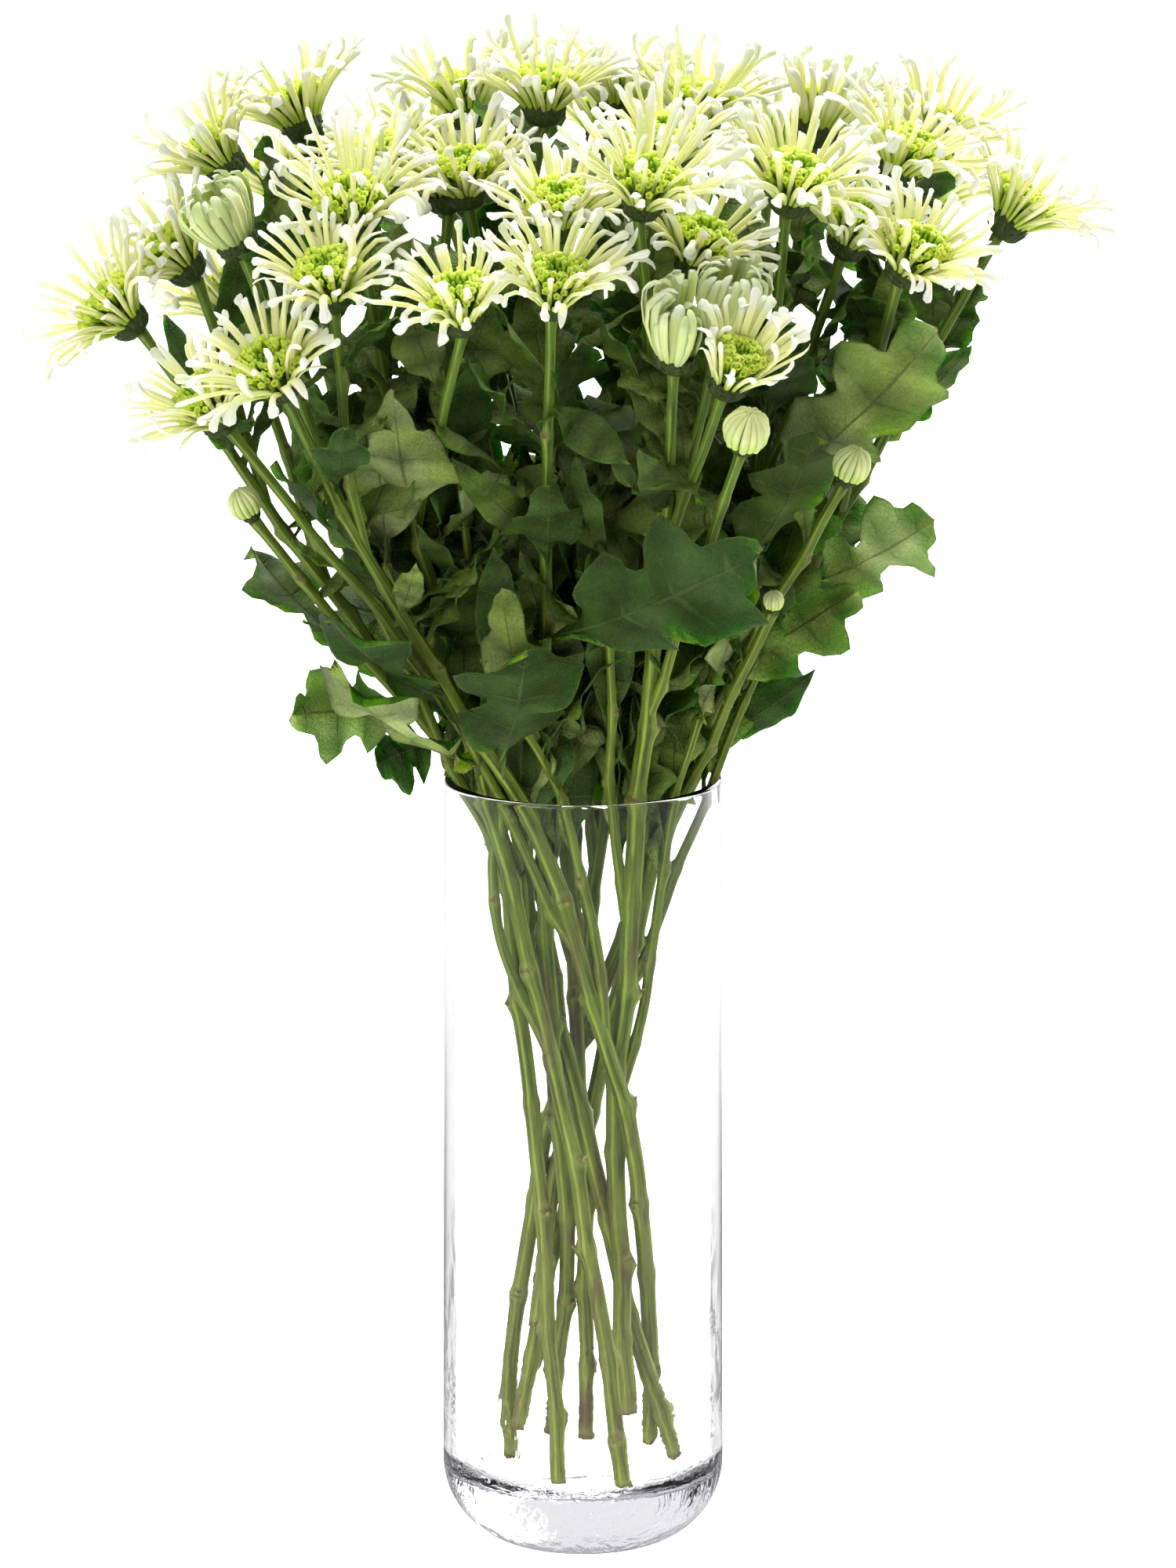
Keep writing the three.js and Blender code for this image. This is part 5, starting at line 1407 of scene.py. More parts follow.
def grow_ray(growth, matrix, ray, head, luck):
    """One quilled ray floret, from its narrow foot to its spoon, club or pointed tip."""
    names, shares = zip(*RAY_SHARES)
    is_ball = head.kind == "ball"
    shape = RAY_SHAPES["ribbon" if is_ball else luck.choice(names, p=shares)]
    curl = choose_curl(head.kind, luck)
    wildness = BALL_WILDNESS if is_ball else 1
    centres, side, up = ray_line(ray, curl, luck.uniform(*RAY_CURL_FROM), luck.normal(0, 0.2) * wildness)
    size = luck.uniform(0.8, 1.15) * (BALL_RAY_GIRTH if is_ball else 1)
    twist = luck.normal(0, 0.5) * wildness * RAY_STATIONS
    cos, sin = np.cos(twist)[:, None], np.sin(twist)[:, None]
    side, up = side * cos + up * sin, up * cos - side * sin
    template = tube_template(RAY_SIDES, len(RAY_STATIONS) - 2, 0)
    x, y, ring = template.corners
    wide = shape["wide"][ring] * size
    hollow = shape["hollow"][ring] * np.clip(y + 0.35, 0, 1) * (1 - x * x * 0.8)
    rise = y * shape["thick"][ring] - hollow
    places = centres[ring] + side[ring] * (x * wide)[:, None] + up[ring] * (rise * size)[:, None]
    tone = luck.uniform(0, 1) + is_ball
    around = np.arctan2(y, x)
    growth.add(template, to_world(matrix, places), along=RAY_STATIONS[ring], around=around, tone=tone)


def grow_core(growth, matrix, template, radii, middle, **numbers):
    """A smooth egg under the florets of a disc or the petals of a bud."""
    x, y, ring = template.corners
    rise = ring / np.max(ring) * 2 - 1
    across = np.sqrt(np.maximum(1 - rise * rise, 0)) * radii[0]
    places = np.stack([x * across, y * across, middle + rise * radii[1]], axis=1)
    growth.add(template, to_world(matrix, places), **numbers)


def grow_disc(growth, matrix, head, luck):
    """The cushion of tubular florets: open and flared outside, shut and green in the dimple."""
    core = tube_template(CALYX_SIDES // 2, 5, 2)
    sizes = (DISC_CORE_RADIUS, DISC_CORE_RISE)
    # along 0.1 gives the egg under the florets the painted shade of the florets' feet.
    grow_core(growth, matrix, core, sizes, 1.0, along=0.1, around=0.8, tone=0.5)
    scale = DISC_SIZE[head.kind] * (head.size if head.kind == "bloom" else 1)
    template = tube_template(FLORET_SIDES, 4, 1)
    x, y, ring = template.corners
    count = bpy.context.scene.bouquet_sizes.floret_count
    for k in range(count):
        share = math.sqrt((k + 0.5) / count)
        turn = k * GOLDEN_TURN + luck.uniform(-0.1, 0.1)
        shape = FLORET_OPEN if share > 0.5 else FLORET_SHUT
        tilt = DISC_FLARE[head.kind] * share**2 + luck.uniform(-0.08, 0.08)
        height = np.interp(share, *zip(*FLORET_LENGTHS)) * luck.uniform(0.88, 1.12)
        out = level(turn)
        way = out * math.sin(tilt) + UP * math.cos(tilt)
        side = np.cross(UP, out)
        foot = out * DISC_SPREAD * share * scale + UP * (4.4 - 2.4 * share * share)
        girth = shape["radius"][ring] * luck.uniform(0.9, 1.1) * lerp(0.85, 1, share)
        arms = side * (x * girth)[:, None] + np.cross(way, side) * (y * girth)[:, None]
        rise = shape["rise"][ring]
        places = foot + way * (rise * height)[:, None] + arms
        growth.add(template, to_world(matrix, places), along=rise, around=share, tone=luck.random())


def grow_bud(growth, head, luck):
    """A closed bud: pale petals that bend up over a green ball and meet at the top."""
    matrix = head.matrix(0.47 * HEAD_HEIGHT * head.size)
    radius = BUD_RADIUS * head.size
    core = tube_template(CALYX_SIDES // 2, 7, 1)
    grow_core(growth, matrix, core, (radius * 0.86,) * 2, 0, along=0.3, around=0.1, tone=0.5)
    stations = len(RAY_STATIONS)
    template = tube_template(RAY_SIDES, stations - 2, 0)
    x, y, ring = template.corners
    for k in range(BUD_PETALS):
        turn = (k + luck.uniform(-0.15, 0.15)) / BUD_PETALS * math.tau
        climb = np.linspace(BUD_BASE, math.radians(luck.uniform(*BUD_TOPS)), stations)
        out = level(turn)
        puff = radius * (1 + 0.05 * (k % 2))
        away, above = out * np.cos(climb)[:, None], UP * np.sin(climb)[:, None]
        centres = away * puff * 0.92 + above * puff
        side = np.broadcast_to(np.cross(UP, out), (stations, 3))
        wide = radius * (0.05 + 0.155 * np.clip(np.cos(climb), 0, 1))
        wide[0] = wide[-1] = 0
        thick = np.full(stations, radius * 0.15)
        places = place_tube(template, centres, -side, away + above, wide, thick)
        growth.add(template, to_world(matrix, places), along=0.06 + 0.5 * RAY_STATIONS[ring],
                   around=np.arctan2(y, x), tone=1 + luck.uniform(0, 0.6))


# The vase

def arc(x, y, radius, start, end, steps):
    """Points on an arc of the vase's profile, from one angle to another in degrees."""
    angles = np.radians(np.linspace(start, end, steps + 1))
    return [(x + math.cos(angle) * radius, y + math.sin(angle) * radius) for angle in angles]


def wall(low, high, bulge):
    """Points up a wall, close to both of its ends so that its shading stays straight.

    A bulge leaves it a little uneven, as blown glass is.
    """
    shares = np.array([0.002, *np.linspace(0.03, 0.97, WALL_STEPS), 0.998])
    waves = 0.3 * np.sin(9 * shares) * np.sin(math.pi * shares)
    swell = bulge * (bell(shares - 0.17, 0.12) + waves)
    return [(lerp(low[0], high[0], k) - off, lerp(low[1], high[1], k)) for k, off in zip(shares, swell)]


def vase_profile():
    """The vase's outline from the middle of its foot, up outside, over the rim and down inside."""
    corner = VASE_RADIUS - VASE_FOOT_RADIUS
    inner = VASE_RIM_RADIUS - VASE_WALL
    lip = VASE_WALL / 2
    floor = VASE_FLOOR + VASE_INNER_CORNER
    profile = [(0, 1.2), (VASE_FOOT_RADIUS * 0.6, 0.9), (VASE_FOOT_RADIUS * 0.9, 0.15)]
    profile += arc(VASE_FOOT_RADIUS, corner, corner, -90, 0, 24)
    profile += wall((VASE_RADIUS, corner), (VASE_RIM_RADIUS, VASE_HEIGHT - lip), 0)
    profile += arc(VASE_RIM_RADIUS - lip, VASE_HEIGHT - lip, lip, 0, 180, 14)
    profile += wall((inner, floor), (inner, VASE_HEIGHT - lip), GLASS_BULGE)[::-1]
    profile += arc(inner - VASE_INNER_CORNER, floor, VASE_INNER_CORNER, 0, -90, 12)
    return profile + [(VASE_FOOT_RADIUS, VASE_FLOOR - 0.35), (0, VASE_FLOOR - 0.6)]


# Materials

WHITE = (1, 1, 1, 1)
PETAL_YOUTH = (0.2143, 2.2143)
LEAF_VEINS = 8.0
# How strongly soft patches of the leaves are lightened towards a bluish grey, as a painted sheen
LEAF_PAINTED_SHEEN = 0.6
GLASS_DENSITY = 18.0


class Value:
    """An output of a node, to reckon with as with a number."""

    def __init__(self, socket):
        self.socket = socket
        self.tree = socket.id_data

    def __add__(self, other):
        return reckon("ADD", self, other)

    def __sub__(self, other):
        return reckon("SUBTRACT", self, other)

    def __rsub__(self, other):
        return reckon("SUBTRACT", other, self)

    def __mul__(self, other):
        return reckon("MULTIPLY", self, other)

    def __truediv__(self, other):
        return reckon("DIVIDE", self, other)

    def __abs__(self):
        return reckon("ABSOLUTE", self)


def fill(inputs, values):
    """Feeds inputs, by name or number, from values, or sets them to constants."""
    for key, value in values.items():
        if isinstance(value, Value):
            value.tree.links.new(value.socket, inputs[key])
        else:
            inputs[key].default_value = value


def add(tree, kind, values=None, **settings):
    """Adds a node with its settings and its inputs."""
    node = tree.nodes.new(f"ShaderNode{kind}")
    for key, value in settings.items():
        setattr(node, key, value)
    fill(node.inputs, values or {})
    return node


def made(tree, kind, output, values=None, **settings):
    """One output of a new node."""
    return Value(add(tree, kind, values, **settings).outputs[output])


def tree_of(*values):
    return next(value.tree for value in values if isinstance(value, Value))


def reckon(operation, *values):
    return made(tree_of(*values), "Math", "Value", dict(enumerate(values)), operation=operation)


def most(first, *others):
    """The greatest of several values."""
    for other in others:
        first = reckon("MAXIMUM", first, other)
    return first


def mask(value, low, high):
    """0 below low, 1 above high, and smooth between."""
    values = {"Value": value, "From Min": low, "From Max": high}
    return made(value.tree, "MapRange", "Result", values, interpolation_type="SMOOTHSTEP")


def fade(value, low, high):
    """1 below low, 0 above high, and smooth between."""
    return 1.0 - mask(value, low, high)


def spread_over(value, low, high):
    """A value from 0 to 1 spread evenly from low to high."""
    return made(value.tree, "MapRange", "Result", {"Value": value, "To Min": low, "To Max": high})


def colour(values):
    return (*values[:3], 1.0)


def ramp(factor, stops):
    """A colour ramp through stops of a position and a colour."""
    node = add(factor.tree, "ValToRGB", {"Fac": factor})
    node.color_ramp.interpolation = "EASE"
    elements = node.color_ramp.elements
    while len(elements) < len(stops):
        elements.new(0.5)
    for element, (position, tint) in zip(elements, stops):
        element.position = position
        element.color = colour(tint)
    return Value(node.outputs["Color"])


def mixed(factor, one, other, blend="MIX"):
    tints = [tint if isinstance(tint, Value) else colour(tint) for tint in (one, other)]
    values = dict(zip((0, 6, 7), (factor, *tints)))
    return made(tree_of(factor, *tints), "Mix", 2, values, data_type="RGBA", blend_type=blend)


def tinted(factor, base, tint):
    """A colour multiplied by a tint where the factor is 1."""
    return mixed(factor, base, tint, "MULTIPLY")


def own_place(tree):
    """A place on the piece, in metres."""
    return made(tree, "TexCoord", "Object")


def split(vector):
    return [Value(part) for part in add(vector.tree, "SeparateXYZ", {"Vector": vector}).outputs]


def own_grain(tree):
    """The three numbers of a piece's vertices: along, around and tone."""
    return split(made(tree, "Attribute", "Vector", attribute_name="grain"))


def light_path(tree):
    return {socket.name: Value(socket) for socket in add(tree, "LightPath").outputs}


def noise(place, scale, detail, distortion=0.0):
    values = {"Vector": place, "Scale": scale, "Detail": detail, "Distortion": distortion}
    return made(place.tree, "TexNoise", "Fac", values)


def new_group(name, inputs, outputs):
    """A node group with number or colour sockets, and its two ends."""
    tree = bpy.data.node_groups.new(name, "ShaderNodeTree")
    kinds = {"number": "NodeSocketFloat", "colour": "NodeSocketColor"}
    for label, kind, value in inputs:
        socket = tree.interface.new_socket(label, in_out="INPUT", socket_type=kinds[kind])
        socket.default_value = value
    for label, kind in outputs:
        tree.interface.new_socket(label, in_out="OUTPUT", socket_type=kinds[kind])
    given = {socket.name: Value(socket) for socket in tree.nodes.new("NodeGroupInput").outputs}
    return tree, given, tree.nodes.new("NodeGroupOutput").inputs


def mottle_group():
    """Uneven tone of living tissue: soft clouds and fine speckles that shade a colour."""
    inputs = [("Colour", "colour", (0.5, 0.5, 0.5, 1)), ("Cloud Scale", "number", 60.0),
              ("Speckle Scale", "number", 900.0), ("Amount", "number", 0.3)]
    tree, given, out = new_group("mottled_tissue", inputs, [("Colour", "colour"), ("Height", "number")])
    clouds = noise(own_place(tree), given["Cloud Scale"], 3.0)
    specks = noise(own_place(tree), given["Speckle Scale"], 2.0)
    value = (clouds + specks * 0.5 - 0.75) * given["Amount"] + 1.0
    shade = made(tree, "HueSaturation", "Color", {"Color": given["Colour"], "Value": value})
    fill(out, {"Colour": shade, "Height": specks})
    return tree


def strand_group():
    """Fine lines that run along a petal, a scale or a stem, from its own numbers along and around."""
    inputs = [("Lines", "number", 3.0), ("Breaks", "number", 1.5), ("Spread", "number", 40.0)]
    tree, given, out = new_group("strand_lines", inputs, [("Lines", "number")])
    along, around, tone = own_grain(tree)
    x = reckon("COSINE", around) * given["Lines"] + tone * given["Spread"]
    y = reckon("SINE", around) * given["Lines"]
    place = made(tree, "CombineXYZ", "Vector", {"X": x, "Y": y, "Z": along * given["Breaks"]})
    fill(out, {"Lines": noise(place, 1.0, 3.0)})
    return tree


def mottled(groups, base, clouds, specks, amount):
    """A base colour with uneven tone, and the height of its speckles."""
    values = {"Colour": base, "Cloud Scale": clouds, "Speckle Scale": specks, "Amount": amount}
    soft = add(base.tree, "Group", values, node_tree=groups["mottle"]).outputs
    return Value(soft["Colour"]), Value(soft["Height"])


def strands(tree, groups, lines, breaks, spread=40.0):
    values = {"Lines": lines, "Breaks": breaks, "Spread": spread}
    return made(tree, "Group", "Lines", values, node_tree=groups["strand"])


def start_material(name):
    """A new material, its node tree and the inputs of its shader."""
    material = bpy.data.materials.new(name)
    material.use_nodes = True
    return material, material.node_tree, material.node_tree.nodes["Principled BSDF"].inputs


def paint(shader, base, roughness, specular):
    """Gives a shader its colour and its gloss."""
    fill(shader, {"Base Color": base, "Roughness": roughness, "Specular IOR Level": specular})


def set_bump(shader, height, strength, distance):
    values = {"Height": height, "Strength": strength, "Distance": distance}
    fill(shader, {"Normal": made(height.tree, "Bump", "Normal", values)})


def set_flesh(shader, weight, radius):
    """Light that soaks a little way into thin living tissue."""
    fill(shader, {"Subsurface Weight": weight, "Subsurface Radius": radius})
    fill(shader, {"Subsurface Scale": METRES})


def petal_material(groups, colours):
    material, tree, shader = start_material("petal")
    along, _, tone = own_grain(tree)
    foot, shaft, tip = colours.petal_foot, colours.petal_shaft, colours.petal_tip
    stops = [(0, foot), (0.12, foot), (0.36, shaft), (0.6, shaft), (0.86, tip), (1, tip)]
    lines = strands(tree, groups, 2.6, 2.0)
    base = tinted(mask(lines, 0.42, 0.75), ramp(along, stops), (0.8, 0.84, 0.6))
    base = mixed(mask(tone, *PETAL_YOUTH), base, colours.petal_green)
    base, _ = mottled(groups, base, 160.0, 1500.0, 0.14)
    paint(shader, base, 0.62, 0.22)
    fill(shader, {"Sheen Weight": 0.05})
    set_flesh(shader, 0.35, (2.2, 2.2, 1.4))
    set_bump(shader, lines, 0.35, 0.0004)
    return material


def floret_material(groups, colours):
    """Disc florets: dark feet, which are painted shade where the florets crowd, bright mouths outside,
    green ones in the dimple.
    """
    material, tree, shader = start_material("disc_floret")
    along, share, _ = own_grain(tree)
    foot_shade, green = colours.disc_foot_shade, colours.disc_green
    outer = ramp(along, [(0, foot_shade), (0.35, green), (0.7, colours.disc_lime), (1, colours.disc_rim)])
    base = mixed(mask(share, 0.3, 0.72), ramp(along, [(0, foot_shade), (1, green)]), outer)
    base, height = mottled(groups, base, 300.0, 2200.0, 0.4)
    paint(shader, base, 0.5, 0.5)
    set_flesh(shader, 0.3, (1.4, 1.6, 0.4))
    set_bump(shader, height, 0.3, 0.0003)
    return material


def calyx_material(groups, colours):
    """Scales with a pale skin along their edges and a brown tip."""
    material, tree, shader = start_material("calyx_scale")
    along, across, _ = own_grain(tree)
    base = mixed(mask(abs(across), 0.72, 1.0), colours.calyx, colours.calyx_edge)
    base = mixed(mask(along, 0.86, 1.0), base, colours.calyx_tip)
    base, _ = mottled(groups, base, 400.0, 2500.0, 0.7)
    paint(shader, base, 0.5, 0.25)
    set_bump(shader, strands(tree, groups, 3.0, 1.0), 0.5, 0.0004)
    return material


def stem_material(groups, colours):
    """Pale ribs with a painted highlight on their crests, dark strands on green, with brown scars, and a
    brownish blush in the vase.
    """
    material, tree, shader = start_material("stem")
    _, around, tone = own_grain(tree)
    place = own_place(tree)
    height = split(place)[2]
    stops = [(0, colours.stem_low), (0.45, colours.stem), (0.8, colours.stem), (1, colours.stem_high)]
    base = ramp(mask(height, 0.02, 0.42), stops)
    ribs = reckon("COSINE", around * float(STEM_RIBS))
    # Painted highlight: the rib crests are lightened, partly their own paler green and partly a painted
    # highlight.
    base = tinted(mask(ribs, 0.35, 1.0), base, (1.9, 1.75, 1.6))
    lines = strands(tree, groups, 2.2, 0.05, 0.0)
    base = tinted(mask(lines, 0.4, 0.7), base, (0.42, 0.46, 0.36))
    long = made(tree, "Mapping", "Vector", {"Vector": place, "Scale": (1.0, 1.0, 0.16)})
    blush = mask(noise(long, 130.0, 4.0), 0.52, 0.68) * (fade(height, 0.12, 0.3) * 0.85)
    base = mixed(blush, base, colours.stem_blush)
    base = mixed(mask(tone, 0.1, 0.6) * 0.4, base, colours.stem_node)
    crust = noise(place, 900.0, 5.0)
    scar = mask(tone, 0.35, 0.95) * mask(crust, 0.3, 0.6)
    base, specks = mottled(groups, mixed(scar, base, colours.scar), 110.0, 1700.0, 0.55)
    paint(shader, base, spread_over(scar, 0.46, 0.85), 0.3)
    set_bump(shader, specks + crust, 0.35, 0.0005)
    return material


def vein_pattern(place, along, across):
    """A leaf's bold veins, its fine net, its rim, and how far it puffs up between its side veins, which
    also sets the painted shade in the dips.
    """
    across = abs(across)
    wave = 1.0 - reckon("PINGPONG", along * LEAF_VEINS, 1.0)
    bend = (noise(place, 130.0, 1.0) - 0.5) * 0.25
    side = fade(wave + (across * 0.1 + bend), 0.02, 0.11)
    values = {"Vector": place, "Scale": 420.0}
    net = made(place.tree, "TexVoronoi", "Distance", values, feature="DISTANCE_TO_EDGE")
    bold = most(fade(across, 0.01, 0.05), side * 0.8)
    return bold, fade(net, 0.0, 0.1), mask(across, 0.9, 1.0), mask(wave, 0.0, 0.9)


def leaf_material(name, groups, tints, roughness, sign):
    """One side of the leaves, with painted shade in the dips by its side veins. The veins sink into the
    upper side and stand out from the lower one.
    """
    material, tree, shader = start_material(name)
    face, warm, vein = tints
    along, across, tone = own_grain(tree)
    place = own_place(tree)
    bold, fine, rim, puff = vein_pattern(place, along, across)
    base = mixed(mask(tone, 0.2, 0.9), face, warm)
    # Painted shade: the colour is darkened in the dips along the side veins and left light on the puffs
    # between them.
    base = mixed(puff, tinted(1.0, base, (0.6, 0.66, 0.56)), base)
    # Painted sheen: soft patches lightened towards a bluish grey, standing for broad highlights.
    painted_sheen = mask(noise(place, 26.0, 2.0), 0.45, 0.62) * LEAF_PAINTED_SHEEN
    base = mixed(painted_sheen, base, tinted(1.0, base, (1.7, 1.45, 3.6)))
    base = mixed(fine * 0.14, base, vein)
    # The rim takes the vein colour: on the upper side a pale line that is a painted edge highlight, on
    # the lower side a darker edge.
    base = mixed(most(bold, rim) * 0.55, base, vein)
    base, specks = mottled(groups, base, 60.0, 1400.0, 1.8)
    paint(shader, base, spread_over(specks, roughness - 0.1, roughness + 0.12), 0.3)
    set_flesh(shader, 0.3, (0.5, 1.3, 0.15))
    relief = (bold + fine * 0.3 - puff * 1.2) * float(sign) + specks
    set_bump(shader, relief, 0.7, 0.001)
    return material


def glass_material(colours):
    """Clear glass, a little grey-violet in its depth, that lets the lamps' light through."""
    material, tree, shader = start_material("vase_glass")
    fill(shader, {"Base Color": WHITE, "Roughness": 0.0, "IOR": 1.5, "Transmission Weight": 1.0})
    glass = Value(tree.nodes["Principled BSDF"].outputs["BSDF"])
    clear = made(tree, "BsdfTransparent", "BSDF", {"Color": WHITE})
    values = {0: light_path(tree)["Is Shadow Ray"], 1: glass, 2: clear}
    surface = made(tree, "MixShader", "Shader", values)
    place = own_place(tree)
    height = split(place)[2]
    depth = fade(height, 0.016, 0.032) * 0.9 + fade(height, 0.03, 0.1) * 0.1
    set_bump(shader, noise(place, 44.0, 3.0, 1.8) * depth, 0.45, 0.004)
    values = {"Color": colour(colours.glass_depth), "Density": GLASS_DENSITY}
    volume = made(tree, "VolumeAbsorption", "Volume", values)
    fill(tree.nodes["Material Output"].inputs, {"Surface": surface, "Volume": volume})
    return material


def floor_shade(place, inside):
    """Painted shade and shadow that only mirrored rays see on the floor: dark in front, in patches close
    behind and in a strip behind the vase, and dim for mirrors outside the glass.
    """
    x, y, _ = split(place)
    # Painted shadow: dark patches on the floor close behind the bouquet, seen only in mirrors.
    painted_shadow_blots = mask(noise(place, 26.0, 3.0, 0.8), 0.42, 0.6) * 0.72
    close = painted_shadow_blots * fade(y, 0.2, 0.42)
    strip = fade(abs(x) / (y + 0.05), 0.2, 0.45) * (0.45 - mask(y, 0.5, 1.1))
    front = 0.9 - mask(y, -0.4, -0.15) - inside * 0.3
    outside = 0.6 - inside - mask(y, 0.4, 0.9)
    shade = most(close, strip, front, outside)
    return made(place.tree, "Clamp", "Result", {"Value": shade})


def floor_material():
    """A white floor, with painted shade and shadow that only mirrored rays see."""
    material, tree, shader = start_material("studio_floor")
    place = own_place(tree)
    base = ramp(noise(place, 3.0, 2.0), [(0, (0.93, 0.93, 0.94)), (1, (0.96, 0.96, 0.96))])
    path = light_path(tree)
    mirrored = reckon("MINIMUM", path["Glossy Depth"], 1.0)
    shade = floor_shade(place, reckon("MINIMUM", path["Transmission Depth"], 1.0))
    dim = mixed(shade, (0.43, 0.43, 0.44), (0.01, 0.012, 0.025))
    paint(shader, mixed(mirrored, base, dim), 0.8, 0.1)
    plain = most(path["Is Camera Ray"], path["Is Transmission Ray"])
    glow = mixed(plain, (0.35, 0.35, 0.35), WHITE)
    dim = mixed(shade, (0.3, 0.3, 0.31), (0.01, 0.01, 0.015))
    fill(shader, {"Emission Color": mixed(mirrored, glow, dim), "Emission Strength": 1.0})
    return material


# Settings

class BouquetSizes(bpy.types.PropertyGroup):
    """Sizes that a user may change before the pieces are made."""

    leaf_thickness: FloatProperty(
        name="Leaf Thickness", description="Thickness of a leaf's blade beside its midrib",
        default=BLADE_THICKNESS * METRES, min=0.0002, max=0.0008, unit="LENGTH", precision=5,
    )
    floret_count: IntProperty(
        name="Disc Florets", description="Tubular florets in the middle of each bloom",
        default=FLORET_COUNT, min=40, max=160,
    )
    vase_steps: IntProperty(
        name="Vase Smoothness", description="Steps round the vase", default=144, min=32, max=256,
    )


def swatch(label, words, default):
    return FloatVectorProperty(
        name=label, description=words, default=default, size=3, min=0, max=2, subtype="COLOR",
    )


class BouquetColours(bpy.types.PropertyGroup):
    """Colours of the bouquet's finishes."""

    petal_foot: swatch("Petal Foot", "Yellow-green foot of a ray", (0.5, 0.64, 0.07))
    petal_shaft: swatch("Petal Shaft", "Ivory shaft of a ray", (0.92, 0.91, 0.48))
    petal_tip: swatch("Petal Tip", "White spoon of a ray", (0.97, 0.97, 0.92))
    petal_green: swatch("Young Petal", "Pale green of the petals of buds", (0.5, 0.62, 0.25))
    disc_rim: swatch("Disc Rim", "Bright mouths of the outer disc florets", (0.7, 0.86, 0.08))
    disc_lime: swatch("Disc Lime", "Yellow-green of the outer disc florets", (0.45, 0.66, 0.02))
    disc_green: swatch("Disc Middle", "Green of the inner disc florets", (0.27, 0.46, 0.02))
    # Painted shade: the dark green painted at the feet of the disc florets, where they crowd together,
    # and on the egg under them.
    disc_foot_shade: swatch("Disc Depth", "Dark green between the disc florets", (0.07, 0.14, 0.01))
    calyx: swatch("Calyx", "Dark green of the scales under a bloom", (0.04, 0.068, 0.014))
    calyx_edge: swatch("Calyx Edge", "Pale skin round the scales", (0.095, 0.12, 0.04))
    calyx_tip: swatch("Calyx Tip", "Brown of the tips of the scales", (0.055, 0.04, 0.02))
    stem_low: swatch("Stem, Low", "Greyish green of the cut ends", (0.155, 0.19, 0.03))
    stem: swatch("Stem", "Green of the stems", (0.13, 0.19, 0.02))
    stem_high: swatch("Stem, High", "Fresher green below the blooms", (0.115, 0.195, 0.022))
    stem_node: swatch("Stem Node", "Paler green round the nodes", (0.25, 0.31, 0.07))
    stem_blush: swatch("Stem Blush", "Purplish brown tint low on the stems", (0.1, 0.055, 0.035))
    scar: swatch("Scar", "Brown of leaf scars and cut ends", (0.12, 0.06, 0.03))
    leaf_upper: swatch("Leaf, Upper Side", "Dark green of the upper sides", (0.036, 0.078, 0.007))
    leaf_warm: swatch("Leaf, Warm", "Warmer green of some leaves", (0.09, 0.15, 0.009))
    leaf_vein: swatch("Leaf Vein", "Pale green of the veins", (0.085, 0.135, 0.03))
    leaf_lower: swatch("Leaf, Lower Side", "Green of the lower sides", (0.1, 0.155, 0.016))
    leaf_sage: swatch("Leaf, Sage", "Sage of the palest lower sides", (0.235, 0.315, 0.06))
    leaf_vein_low: swatch("Leaf Vein, Lower Side", "Dark green of the veins", (0.06, 0.1, 0.02))
    glass_depth: swatch("Glass Depth", "Tint of thick glass", (0.84, 0.835, 0.87))


@lru_cache(None)
def finishes():
    """All materials by name, made once from the colours that are set."""
    colours = bpy.context.scene.bouquet_colours
    groups = {"mottle": mottle_group(), "strand": strand_group()}
    upper = (colours.leaf_upper, colours.leaf_warm, colours.leaf_vein)
    lower = (colours.leaf_lower, colours.leaf_sage, colours.leaf_vein_low)
    return {
        "petal": petal_material(groups, colours),
        "floret": floret_material(groups, colours),
        "calyx": calyx_material(groups, colours),
        "stem": stem_material(groups, colours),
        "leaf_upper": leaf_material("leaf_upper_side", groups, upper, 0.46, -1),
        "leaf_lower": leaf_material("leaf_lower_side", groups, lower, 0.58, 1),
        "glass": glass_material(colours),
        "floor": floor_material(),
    }


@lru_cache(None)
def plants():
    """The shoots, twigs and leaves of each spray, worked out once for all operators."""
    sprays = grow_shoots()
    twigs = grow_twigs(sprays)
    leaves = grow_leaves(sprays)
    return {"sprays": sprays, "twigs": twigs, "leaves": leaves, "filling": grow_filling(sprays, twigs)}


# Operators

FLOOR_HALF = 7.0
LAMP_AIM = Vector((0, 0, 0.3))
# Each lamp's name, place, size across and watts
LAMPS = (
    ("over_and_behind", (0.25, 0.9, 2.3), 1.8, 92.0),
    ("low_behind_right", (1.3, 1.9, 0.7), 1.2, 24.0),
    ("front_left_fill", (-1.7, -2.1, 1.3), 1.6, 26.0),
)


class BOUQUET_OT_stage(bpy.types.Operator):
    """Set out the pale floor, the soft lights and the camera"""

    bl_idname = "bouquet.stage"
    bl_label = "Stage"

    def execute(self, context):
        floor = bmesh.new()
        bmesh.ops.create_grid(floor, x_segments=1, y_segments=1, size=FLOOR_HALF)
        mesh = to_mesh(floor, "studio_floor")
        mesh.materials.append(finishes()["floor"])
        set_out("studio_floor", mesh)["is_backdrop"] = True
        set_camera(context.scene)
        set_lamps()
        set_world(context.scene)
        context.scene.view_settings.view_transform = "Standard"
        return {"FINISHED"}


